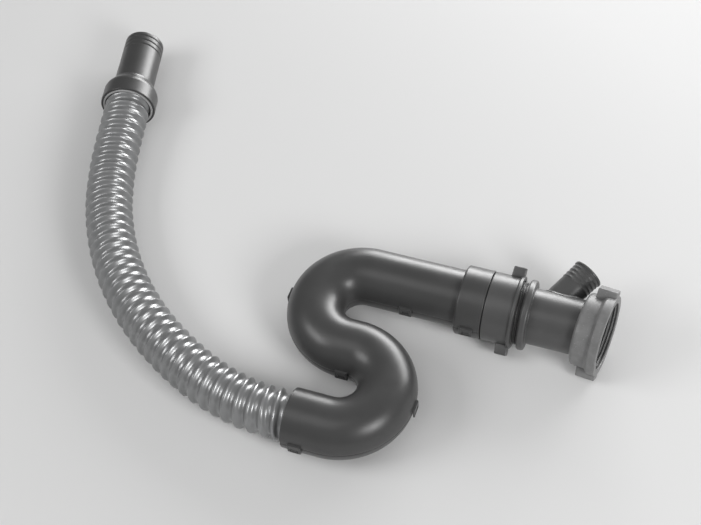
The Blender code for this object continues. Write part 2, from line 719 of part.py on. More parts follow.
def build_nozzle(mouth, points):
    """Nozzle on the hose's far end: cuff, shoulder and grooved spigot, with its ring and seal."""
    along = (points[-1] - points[-2]).normalized()
    yaw = math.atan2(along.y, along.x)
    rim = points[-1] - Vector((math.cos(yaw), math.sin(yaw), 0.0)) * HOSE_INTO_CUFF
    axis = empty("nozzle_axis", mouth, location=rim, rotation=(0.0, 0.0, yaw))
    spigot_start = CUFF_LENGTH + SHOULDER_LENGTH
    tip = spigot_start + SPIGOT_LENGTH
    profile = [(0.0, CUFF_R - CUFF_EDGE_DROP), (CUFF_EDGE, CUFF_R), (CUFF_LENGTH, CUFF_R)]
    profile.append((CUFF_LENGTH + SHOULDER_END, CUFF_R - SHOULDER_TOP_DROP))
    profile.append((spigot_start - SHOULDER_END, SPIGOT_R + SHOULDER_FOOT_RISE))
    profile.append((spigot_start, SPIGOT_R))
    groove_r = SPIGOT_R - GROOVE_DEPTH
    for groove in range(GROOVE_COUNT):
        low = tip - (GROOVE_COUNT - groove) * GROOVE_PITCH
        bottom = low + GROOVE_FACE
        profile += [(low, SPIGOT_R), (bottom, groove_r), (low + GROOVE_WIDTH, SPIGOT_R)]
    profile += [(tip - TIP_ROUND, SPIGOT_R), (tip, SPIGOT_R - TIP_DROP)]
    profile += [(tip, NOZZLE_BORE_R), (CUFF_DEPTH, NOZZLE_BORE_R), (CUFF_DEPTH, CUFF_BORE_R)]
    profile.append((0.0, CUFF_BORE_R))
    solid("outlet_nozzle", turned(profile), DARK_FITTING, axis)
    inner_r, outer_r = HOSE_R + NOZZLE_RING_PLAY, CUFF_BORE_R - GAP
    low, high = -NOZZLE_RING_OUT, NOZZLE_RING_LENGTH - NOZZLE_RING_OUT
    band = ((low, outer_r), (high, outer_r), (high, inner_r), (low, inner_r))
    solid("nozzle_ring", turned(band), PALE_RING, axis)
    low = HOSE_INTO_CUFF + 2 * GAP
    high = CUFF_DEPTH - GAP
    seal = ((low, outer_r), (high, outer_r), (high, NOZZLE_BORE_R), (low, NOZZLE_BORE_R))
    solid("nozzle_seal", turned(seal), RUBBER, axis)


# ---------------------------------------------------------------- assembly


LOOSE = ("drain_hose", "outlet_nozzle", "nozzle_ring", "nozzle_seal")


def centre_on_floor(assembly):
    """Move the whole assembly so that the trap's box stands centred on the origin."""
    bpy.context.view_layer.update()
    graph = bpy.context.evaluated_depsgraph_get()
    corners = []
    for item in bpy.data.objects:
        if item.type != "MESH" or item.hide_render or item.name in LOOSE:
            continue
        evaluated = item.evaluated_get(graph)
        corners += [evaluated.matrix_world @ v.co for v in evaluated.data.vertices]
    low = [min(c[k] for c in corners) for k in range(3)]
    high = [max(c[k] for c in corners) for k in range(3)]
    assembly.location = (-(low[0] + high[0]) / 2, -(low[1] + high[1]) / 2, -low[2])


def main():
    """Build every sub-part and stand the trap on the floor."""
    clear_scene()
    assembly = empty("assembly")
    lie = {"location": (0.0, 0.0, AXIS_HEIGHT), "rotation": (0.0, -TILT, 0.0)}
    trap = empty("trap", assembly, **lie)
    build_shells(trap)
    build_held_hose(trap)
    build_end_collar(trap)
    build_coupling(trap)
    build_tailpiece(trap)
    build_union_nut(trap)
    stub_height = AXIS_HEIGHT + STUB_X * math.sin(TILT)
    mouth = empty("stub_mouth", assembly, location=(STUB_X * math.cos(TILT), OUTLET_Y, stub_height))
    points = build_loose_hose(mouth)
    build_nozzle(mouth, points)
    centre_on_floor(assembly)


main()
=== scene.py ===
"""Looks for the drain trap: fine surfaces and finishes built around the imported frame.

Each sub-assembly is a class. Its sizes are dataclass fields in millimetres, nearly all of them the
values that the frame was drawn with, and its methods work out the surfaces and dress them. Surfaces
are whole arrays of points, placed in the frame in metres, so every object stays at the origin.
"""

from __future__ import annotations

import json
import logging
import math
from collections.abc import Callable, Sequence
from dataclasses import dataclass, field
from enum import Enum

import bmesh
import bpy
import numpy as np
from mathutils import Matrix, Vector

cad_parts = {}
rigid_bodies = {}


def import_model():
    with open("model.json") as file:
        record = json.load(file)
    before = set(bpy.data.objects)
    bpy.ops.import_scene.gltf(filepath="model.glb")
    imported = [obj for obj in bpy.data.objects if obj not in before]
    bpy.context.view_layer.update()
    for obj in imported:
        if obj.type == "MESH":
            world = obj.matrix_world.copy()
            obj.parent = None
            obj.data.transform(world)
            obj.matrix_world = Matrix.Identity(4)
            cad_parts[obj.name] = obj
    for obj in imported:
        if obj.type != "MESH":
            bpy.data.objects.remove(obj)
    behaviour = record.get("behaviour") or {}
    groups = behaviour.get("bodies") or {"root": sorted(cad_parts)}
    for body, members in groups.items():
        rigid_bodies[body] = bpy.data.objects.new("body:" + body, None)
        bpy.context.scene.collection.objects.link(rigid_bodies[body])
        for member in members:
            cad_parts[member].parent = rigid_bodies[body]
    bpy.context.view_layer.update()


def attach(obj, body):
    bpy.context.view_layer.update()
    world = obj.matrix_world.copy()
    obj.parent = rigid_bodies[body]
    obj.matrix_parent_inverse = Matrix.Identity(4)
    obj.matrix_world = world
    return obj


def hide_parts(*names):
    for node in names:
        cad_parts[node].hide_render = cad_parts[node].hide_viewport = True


LOG = logging.getLogger("drain_trap")

MM = 0.001
GAP = 0.3
TURN = 2.0 * math.pi
SHARP_ANGLE = math.radians(42.0)
WELD = 2e-7
GUARD = 0.25
SIDES = 144

# ---------------------------------------------------------------- places


@dataclass(frozen=True)
class Axes:
    """A place in the frame and the three directions that a sub-assembly is built along."""

    origin: np.ndarray
    turn: np.ndarray

    def place(self, points: np.ndarray) -> np.ndarray:
        """Carry points from these axes, in millimetres, to the frame, in metres.

        Args:
            points: an array whose last side holds x, y and z.

        Returns:
            The same array in the frame: origin + turn times point.
        """
        return self.origin + (points * MM) @ self.turn.T

    def child(self, offset: Sequence[float], turn: Matrix) -> Axes:
        """Axes that hang from these ones.

        Args:
            offset: where the child stands, in millimetres along these axes.
            turn: how the child is turned in these axes.

        Returns:
            The child's own axes in the frame.
        """
        return Axes(self.place(np.array(offset, float)), self.turn @ np.array(turn.to_3x3()))


def rotation(degrees: float, axis: str) -> Matrix:
    """A turn by that many degrees about one axis."""
    return Matrix.Rotation(math.radians(degrees), 4, axis)


TRAP_ORIGIN = np.array((-0.060176, 0.052331, 0.022521))
TRAP_TILT = 2.2782
NUT_X, NUT_YAW, NUT_PITCH = 153.21, -6.5, -2.0
BRANCH_X, BRANCH_ROLL, BRANCH_LEAN = 124.0, 15.0, 60.0
STUB_MOUTH = np.array((-0.078162, -0.075669, 0.021805))
NOZZLE_ORIGIN = np.array((-0.304231, 0.151499, 0.022305))
NOZZLE_YAW = 103.408

BRANCH_TURN = rotation(BRANCH_ROLL, "X") @ rotation(BRANCH_LEAN, "Z")
TRAP = Axes(TRAP_ORIGIN, np.array(rotation(-TRAP_TILT, "Y").to_3x3()))
NUT_AXES = TRAP.child((NUT_X, 0.0, 0.0), rotation(NUT_YAW, "Z") @ rotation(NUT_PITCH, "Y"))
BRANCH_AXES = TRAP.child((BRANCH_X, 0.0, 0.0), BRANCH_TURN)
NOZZLE_AXES = Axes(NOZZLE_ORIGIN, np.array(rotation(NOZZLE_YAW, "Z").to_3x3()))

# ---------------------------------------------------------------- surfaces


class Wrap(Enum):
    """Which sides of a grid of points are joined up."""

    NONE = "none"
    ROWS = "rows"
    COLUMNS = "columns"
    BOTH = "both"


def grid_faces(rows: int, columns: int, wrap: Wrap) -> np.ndarray:
    """Quads of a grid: corner (i, j) is point i * columns + j, and a joined side counts on to 0.

    Args:
        rows: number of rows of points.
        columns: number of points in a row.
        wrap: which sides are joined up.

    Returns:
        An array of four point numbers for each quad.
    """
    row_count = rows if wrap in (Wrap.ROWS, Wrap.BOTH) else rows - 1
    column_count = columns if wrap in (Wrap.COLUMNS, Wrap.BOTH) else columns - 1
    i, j = np.meshgrid(np.arange(row_count), np.arange(column_count), indexing="ij")
    i2, j2 = (i + 1) % rows, (j + 1) % columns
    corners = (i * columns + j, i2 * columns + j, i2 * columns + j2, i * columns + j2)
    return np.stack([c.ravel() for c in corners], axis=1)


class Mould:
    """Gathers grids of points into one mesh object at the origin."""

    def __init__(self, name: str) -> None:
        """Start an empty mould for a piece of that name."""
        self.name = name
        self.points: list[np.ndarray] = []
        self.faces: list[np.ndarray] = []
        self.count = 0

    def grid(self, points: np.ndarray, wrap: Wrap) -> Mould:
        """Add a grid of points, in metres, with its quads.

        Args:
            points: an array of rows, columns and x, y, z.
            wrap: which sides of it are joined up.

        Returns:
            This mould, so that calls can follow each other.
        """
        rows, columns = points.shape[:2]
        self.points.append(points.reshape(-1, 3))
        self.faces.append(grid_faces(rows, columns, wrap) + self.count)
        self.count += rows * columns
        return self

    def closed(self, points: np.ndarray) -> Mould:
        """Add rings, in metres, with a pole at the middle of the first and of the last one."""
        first = np.broadcast_to(points[:1].mean(axis=1, keepdims=True), points[:1].shape)
        last = np.broadcast_to(points[-1:].mean(axis=1, keepdims=True), points[-1:].shape)
        return self.grid(np.concatenate([first, points, last]), Wrap.COLUMNS)

    def cast(self) -> bpy.types.Object:
        """Make the object: welded, with its faces outwards and its round faces smooth."""
        mesh = bpy.data.meshes.new(self.name)
        mesh.from_pydata(np.concatenate(self.points), [], np.concatenate(self.faces))
        piece = linked(self.name, mesh)
        tidy_mesh(mesh)
        return piece


def linked(name: str, data: bpy.types.ID) -> bpy.types.Object:
    """Make an object from its data and put it in the scene."""
    made = bpy.data.objects.new(name, data)
    bpy.context.scene.collection.objects.link(made)
    return made


def tidy_mesh(mesh: bpy.types.Mesh) -> None:
    """Weld points that coincide, turn every face outwards, and smooth all but sharp corners."""
    shape = bmesh.new()
    shape.from_mesh(mesh)
    bmesh.ops.remove_doubles(shape, verts=shape.verts, dist=WELD)
    bmesh.ops.dissolve_degenerate(shape, edges=shape.edges, dist=WELD)
    bmesh.ops.recalc_face_normals(shape, faces=shape.faces)
    shape.to_mesh(mesh)
    shape.free()
    mesh.shade_smooth()
    mesh.set_sharp_from_angle(angle=SHARP_ANGLE)
    mesh.update()


def rounded(
    corners: Sequence[tuple[float, float, float]], closed: bool = True, steps: int = 4
) -> np.ndarray:
    """Round the corners of an outline.

    Each corner (x, y, reach) becomes the curve (1-t)^2 A + 2t(1-t) C + t^2 B, where C is the corner
    and A and B lie on its two edges at its reach, or under half an edge away where that is less.
    One more point stands just outside A and B, so that the flat between two corners keeps its own
    shading.

    Args:
        corners: x, y and reach of each corner, in millimetres.
        closed: whether the last corner joins the first.
        steps: how many pieces each curve has.

    Returns:
        An array of x and y of every point.
    """
    data = np.array(corners, float)
    xy, reach = data[:, :2], data[:, 2]
    before, after = np.roll(xy, 1, axis=0) - xy, np.roll(xy, -1, axis=0) - xy
    length_before = np.linalg.norm(before, axis=1)
    length_after = np.linalg.norm(after, axis=1)
    before /= np.maximum(length_before, 1e-9)[:, None]
    after /= np.maximum(length_after, 1e-9)[:, None]
    reach = np.minimum(reach, 0.45 * np.minimum(length_before, length_after))
    t = np.linspace(0.0, 1.0, steps + 1)[None, :, None]
    a, b, c = (xy + before * reach[:, None]), (xy + after * reach[:, None]), xy
    curve = (1 - t) ** 2 * a[:, None] + 2 * t * (1 - t) * c[:, None] + t**2 * b[:, None]
    out_a = xy + before * np.minimum(reach + GUARD, 0.49 * length_before)[:, None]
    out_b = xy + after * np.minimum(reach + GUARD, 0.49 * length_after)[:, None]
    blocks = np.concatenate([out_a[:, None], curve, out_b[:, None]], axis=1)
    if closed:
        return blocks.reshape(-1, 2)
    return np.concatenate([xy[:1], blocks[1:-1].reshape(-1, 2), xy[-1:]])


def denser(outline: np.ndarray, low: float, high: float, step: float) -> np.ndarray:
    """Add points to the parts of an outline that run along x between two places.

    Args:
        outline: x and radius of each point, the last joining the first.
        low: where the added points start along x.
        high: where they end.
        step: greatest distance between points there.

    Returns:
        The outline with the added points.
    """
    rows = []
    for start, end in zip(outline, np.roll(outline, -1, axis=0)):
        inside = min(start[0], end[0]) < high - 1e-6 and max(start[0], end[0]) > low + 1e-6
        pieces = max(1, math.ceil(abs(end[0] - start[0]) / step)) if inside else 1
        share = np.linspace(0.0, 1.0, pieces, endpoint=False)[:, None]
        rows.append(start + (end - start) * share)
    return np.concatenate(rows)


Relief = Callable[[np.ndarray, np.ndarray, np.ndarray], np.ndarray]


def turned(outline: np.ndarray, sides: int, relief: Relief | None = None) -> np.ndarray:
    """Turn an outline about the x axis: a point (x, r) at angle a is (x, r cos a, r sin a).

    Args:
        outline: x and radius of each point, in millimetres.
        sides: how many steps go round.
        relief: adds to the radius, from x, radius and angle, such as a thread.

    Returns:
        A grid of sides rows, in millimetres.
    """
    angle = np.arange(sides)[:, None] * (TURN / sides)
    x = np.broadcast_to(outline[None, :, 0], (sides, len(outline)))
    r = np.broadcast_to(outline[None, :, 1], (sides, len(outline)))
    if relief is not None:
        r = r + relief(x, r, np.broadcast_to(angle, r.shape))
    return np.stack([x, r * np.cos(angle), r * np.sin(angle)], axis=2)


def ring_section(low: float, high: float, outer: float, inner: float, edge: float) -> np.ndarray:
    """The outline of a plain ring: a rectangle whose four corners are rounded alike."""
    corners = ((low, outer), (high, outer), (high, inner), (low, inner))
    return rounded([(x, radius, edge) for x, radius in corners])


def ring(
    name: str, axes: Axes, outline: np.ndarray, relief: Relief | None = None
) -> bpy.types.Object:
    """A ring turned from a closed outline about the x axis of those axes."""
    return Mould(name).grid(axes.place(turned(outline, SIDES, relief)), Wrap.BOTH).cast()


@dataclass(frozen=True)
class Thread:
    """A helical thread on a turned surface.

    It lies between low and high, where the bare surface has the radius crest, and fades out at
    both ends. Of each flank, flat is the share at the root and slope the share that rises.
    """

    low: float
    high: float
    crest: float
    pitch: float
    depth: float
    inward: bool = False
    runout: float = 1.2
    flat: float = 0.12
    slope: float = 0.72
    near_crest: float = 0.06

    def __call__(self, x: np.ndarray, r: np.ndarray, angle: np.ndarray) -> np.ndarray:
        """How far the thread moves the surface: a ridge at each whole x / pitch - angle / turn.

        Args:
            x: place along the axis.
            r: radius of the bare surface.
            angle: angle round the axis.

        Returns:
            What is added to the radius.
        """
        phase = x / self.pitch - angle / TURN
        wave = np.abs(2.0 * (phase - np.floor(phase)) - 1.0)
        ridge = np.clip((wave - self.flat) / self.slope, 0.0, 1.0)
        start = np.clip((x - self.low) / self.runout, 0, 1)
        end = np.clip((self.high - x) / self.runout, 0, 1)
        on_it = (np.abs(r - self.crest) < self.near_crest).astype(float)
        cut = self.depth * (1.0 - ridge) * (start * end) * on_it
        return cut if self.inward else -cut


def block(outline: np.ndarray, width: float, edge: float, steps: int = 3) -> np.ndarray:
    """A bar of one outline with rounded ends.

    The outline shrinks towards its middle over the last stretch at both ends: at a distance
    edge (1 - cos a) from the end face it is edge (1 - sin a) smaller all round.

    Args:
        outline: two coordinates of each point, in millimetres.
        width: length of the bar along its third coordinate.
        edge: rounding at the ends.
        steps: pieces in each rounding.

    Returns:
        A grid of rings: first two coordinates from the outline, third along the bar.
    """
    middle = (outline.min(axis=0) + outline.max(axis=0)) / 2
    half = (outline.max(axis=0) - outline.min(axis=0)) / 2
    a = np.linspace(0.0, math.pi / 2, steps + 1)
    place = np.concatenate([edge * (1 - np.cos(a)), [edge + GUARD]])
    inset = np.concatenate([edge * (1 - np.sin(a)), [0.0]])
    place = np.concatenate([-width / 2 + place, (width / 2 - place)[::-1]])
    inset = np.concatenate([inset, inset[::-1]])
    size = 1.0 - inset[:, None, None] / half
    flat = middle + (outline - middle)[None] * size
    along = np.broadcast_to(place[:, None, None], (*flat.shape[:2], 1))
    return np.concatenate([flat, along], axis=2)


def rounded_rectangle(width: float, height: float, corner: float, steps: int = 3) -> np.ndarray:
    """A rounded rectangle about the origin, with more points along the sides from -h to h."""
    w, h = width / 2, height / 2
    corners = [(w, -h, corner), (w, h, corner), (-w, h, corner), (-w, -h, corner)]
    points = rounded(corners, steps=steps)
    per_corner = len(points) // len(corners)
    share = np.linspace(0.0, 1.0, 9)[1:-1, None]
    parts = []
    for k in range(len(corners)):
        parts.append(points[k * per_corner : (k + 1) * per_corner])
        if k in (0, 2):
            start, end = parts[-1][-1], points[(k + 1) * per_corner]
            parts.append(start + (end - start) * share)
    return np.concatenate(parts)


def carve(
    piece: bpy.types.Object,
    joined: Sequence[bpy.types.Object] = (),
    cut: Sequence[bpy.types.Object] = (),
) -> None:
    """Join and cut one object with others, which are used up.

    Args:
        piece: the object that stays, with its mesh changed.
        joined: objects that become part of it.
        cut: objects whose room is taken out of it.
    """
    for operation, others in (("UNION", joined), ("DIFFERENCE", cut)):
        for other in others:
            step = piece.modifiers.new(operation.lower(), "BOOLEAN")
            step.operation, step.solver, step.object = operation, "EXACT", other
    graph = bpy.context.evaluated_depsgraph_get()
    mesh = bpy.data.meshes.new_from_object(piece.evaluated_get(graph))
    piece.modifiers.clear()
    piece.data = mesh
    for other in (*joined, *cut):
        bpy.data.objects.remove(other)
    tidy_mesh(mesh)


# ---------------------------------------------------------------- finishes

RUB_SCALE = 90.0


class Wiring:
    """Adds nodes to a node tree and joins their sockets."""

    def __init__(self, tree: bpy.types.NodeTree) -> None:
        """Work on that tree."""
        self.tree = tree

    def node(self, kind: str, inputs: dict | None = None, **settings: object) -> bpy.types.Node:
        """Add one node.

        Args:
            kind: the node's type name.
            inputs: value or output socket for each named or numbered input.
            settings: properties of the node itself.

        Returns:
            The new node.
        """
        made = self.tree.nodes.new(kind)
        for key, value in settings.items():
            setattr(made, key, value)
        for key, value in (inputs or {}).items():
            if isinstance(value, bpy.types.NodeSocket):
                self.tree.links.new(value, made.inputs[key])
            else:
                made.inputs[key].default_value = value
        return made

    def ramp(
        self, source: bpy.types.NodeSocket, low: float, high: float, to_low: float, to_high: float
    ) -> bpy.types.NodeSocket:
        """Carry a value from one range to another, clamped, and give the output socket."""
        settings = {"From Min": low, "From Max": high, "To Min": to_low, "To Max": to_high}
        return self.node("ShaderNodeMapRange", {"Value": source, **settings}).outputs[0]

    def mixed(
        self, share: bpy.types.NodeSocket, first: object, second: object
    ) -> bpy.types.NodeSocket:
        """Mix two colours by a share and give the output socket."""
        mix = self.node("ShaderNodeMix", data_type="RGBA")
        self.tree.links.new(share, mix.inputs[0])
        for socket, value in ((mix.inputs[6], first), (mix.inputs[7], second)):
            if isinstance(value, bpy.types.NodeSocket):
                self.tree.links.new(value, socket)
            else:
                socket.default_value = value
        return mix.outputs[2]


def new_material(name: str) -> tuple[bpy.types.Material, Wiring, bpy.types.Node]:
    """Start a material, and give it with its wiring and its shader node."""
    made = bpy.data.materials.new(name)
    made.use_nodes = True
    return made, Wiring(made.node_tree), made.node_tree.nodes["Principled BSDF"]


def new_group(
    name: str, takes: dict[str, float], gives: Sequence[str]
) -> tuple[bpy.types.NodeTree, Wiring, bpy.types.Node, bpy.types.Node]:
    """Start a shader node group with float sockets.

    Args:
        name: the group's name.
        takes: default value of each input.
        gives: name of each output.

    Returns:
        The group, its wiring, its input node and its output node.
    """
    group = bpy.data.node_groups.new(name, "ShaderNodeTree")
    for key, value in takes.items():
        socket = group.interface.new_socket(key, in_out="INPUT", socket_type="NodeSocketFloat")
        socket.default_value = value
    for key in gives:
        group.interface.new_socket(key, in_out="OUTPUT", socket_type="NodeSocketFloat")
    wiring = Wiring(group)
    return group, wiring, wiring.node("NodeGroupInput"), wiring.node("NodeGroupOutput")


def surface_group() -> bpy.types.NodeTree:
    """Moulded surface in object coordinates: cloudy tone, fine grain, rubbed patches and specks.

    Returns:
        A group that takes the scales and gives Tone, Rub, Speck and Height, each from 0 to 1.
    """
    takes = {"Cloud Scale": 30.0, "Grain Scale": 1800.0, "Speck Scale": 700.0}
    group, w, source, sink = new_group("moulded surface", takes, ("Tone", "Rub", "Speck", "Height"))
    place = w.node("ShaderNodeTexCoord").outputs["Object"]

    for key, scale, detail, rough, low, high in (
        ("Tone", source.outputs["Cloud Scale"], 3.0, 0.55, 0.32, 0.68),
        ("Height", source.outputs["Grain Scale"], 2.0, 0.6, 0.2, 0.8),
        ("Rub", RUB_SCALE, 5.0, 0.65, 0.35, 0.7),
        ("Speck", source.outputs["Speck Scale"], 1.0, 0.5, 0.66, 0.76),
    ):
        inputs = {"Vector": place, "Scale": scale, "Detail": detail, "Roughness": rough}
        noise = w.node("ShaderNodeTexNoise", inputs).outputs[0]
        w.tree.links.new(w.ramp(noise, low, high, 0.0, 1.0), sink.inputs[key])
    return group


@dataclass(frozen=True)
class Finish:
    """One moulded plastic or rubber: its two tones, its gloss and its grain."""

    name: str
    slot: str
    dark: float
    light: float
    gloss_rough: float
    rub_rough: float
    grain_depth: float
    cloud_scale: float = 30.0
    grain_scale: float = 1800.0
    speck_scale: float = 700.0
    speck_light: float = 0.0
    metallic: float = 0.0
    warmth: float = 0.0

    def grey(self, value: float) -> tuple[float, float, float, float]:
        """A grey of that brightness, a little warm or cool."""
        return (value * (1 + self.warmth), value, value * (1 - self.warmth), 1.0)

    def material(self, surface: bpy.types.NodeTree) -> bpy.types.Material:
        """Build the material.

        Args:
            surface: the shared group that the pattern comes from.

        Returns:
            The material: tone and specks feed the colour, rubbed patches the roughness, and the
            grain the normal.
        """
        made, w, shader = new_material(self.name)
        pattern = w.node("ShaderNodeGroup", node_tree=surface)
        pattern.inputs["Cloud Scale"].default_value = self.cloud_scale
        pattern.inputs["Grain Scale"].default_value = self.grain_scale
        pattern.inputs["Speck Scale"].default_value = self.speck_scale
        tone = w.mixed(pattern.outputs["Tone"], self.grey(self.dark), self.grey(self.light))
        if self.speck_light:
            tone = w.mixed(pattern.outputs["Speck"], tone, self.grey(self.speck_light))
        link = made.node_tree.links.new
        link(tone, shader.inputs["Base Color"])
        rough = w.ramp(pattern.outputs["Rub"], 0.0, 1.0, self.gloss_rough, self.rub_rough)
        link(rough, shader.inputs["Roughness"])
        relief = {"Height": pattern.outputs["Height"], "Distance": self.grain_depth * MM}
        link(w.node("ShaderNodeBump", relief).outputs[0], shader.inputs["Normal"])
        shader.inputs["Metallic"].default_value = self.metallic
        return made


SHELL = Finish("shell moulding", "shell_plastic", 0.048, 0.057, 0.31, 0.37, 0.006)
FITTING = Finish("fitting moulding", "fitting_plastic", 0.068, 0.08, 0.33, 0.4, 0.006)
# Painted shade: the nozzle gets a darker copy of the fitting plastic, darkened so that the nozzle
# reads as shaded.
SHADED_NOZZLE = Finish("shaded nozzle moulding", "fitting_plastic", 0.045, 0.055, 0.3, 0.36, 0.006)
NUT = Finish(
    "matt nut moulding", "nut_plastic", 0.16, 0.2, 0.4, 0.5, 0.02,
    cloud_scale=160.0, grain_scale=1300.0, speck_scale=900.0, speck_light=0.26,
)
HOSE = Finish(
    "silver hose", "hose_plastic", 0.27, 0.3, 0.29, 0.31, 0.002, metallic=0.5, warmth=-0.01
)
PALE = Finish("pale ring", "ring_plastic", 0.36, 0.42, 0.3, 0.4, 0.006)
RUBBER = Finish("black rubber", "rubber", 0.008, 0.012, 0.5, 0.62, 0.01)


class Wardrobe:
    """The materials, each made once."""

    def __init__(self) -> None:
        """Make the shared group and start with no material."""
        self.surface = surface_group()
        self.made: dict[str, bpy.types.Material] = {}

    def dress(
        self, piece: bpy.types.Object, finish: Finish, body: str, node: str
    ) -> bpy.types.Object:
        """Give a piece its finish and its body.

        Args:
            piece: the finished piece.
            finish: what it is made of.
            body: the body that it moves with.
            node: the plain solid that it stands for.

        Returns:
            The piece.
        """
        if finish.name not in self.made:
            self.made[finish.name] = finish.material(self.surface)
        piece.data.materials.clear()
        piece.data.materials.append(self.made[finish.name])
        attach(piece, body)
        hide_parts(node)
        LOG.info("%s: %d faces on %s", piece.name, len(piece.data.polygons), body)
        return piece


# ---------------------------------------------------------------- the S-bend and its shells


@dataclass
class BendPath:
    """The middle line of the S: inlet along x, half-turn, short straight, half-turn, stub."""

    bend_radius: float = 32.0
    middle_straight: float = 7.2
    stub_length: float = 25.2
    steps: int = 56

    def half_turn(
        self, centre_x: float, centre_y: float, sign: float
    ) -> tuple[np.ndarray, np.ndarray]:
        """Half a circle from its +y end.

        The points are centre + R (cos a, sin a) and the headings sign (-sin a, cos a).

        Args:
            centre_x: the circle's centre along x.
            centre_y: the circle's centre along y.
            sign: 1 to go round with the angle, -1 against it.

        Returns:
            The points and their headings.
        """
        a = math.pi / 2 + sign * np.linspace(0.0, math.pi, self.steps + 1)
        x, y = centre_x + self.bend_radius * np.cos(a), centre_y + self.bend_radius * np.sin(a)
        return np.stack([x, y], axis=1), sign * np.stack([-np.sin(a), np.cos(a)], axis=1)

    def bends(self) -> tuple[np.ndarray, np.ndarray]:
        """Points and headings of both half-turns with the straight between them."""
        first, first_heading = self.half_turn(0.0, -self.bend_radius, 1.0)
        second, second_heading = self.half_turn(self.middle_straight, -3 * self.bend_radius, -1.0)
        return np.concatenate([first, second]), np.concatenate([first_heading, second_heading])

    @property
    def stub_x(self) -> float:
        """Where the stub's mouth stands along x."""
        return self.middle_straight - self.stub_length

    @property
    def outlet_y(self) -> float:
        """Where the stub's middle line stands along y."""
        return -4.0 * self.bend_radius


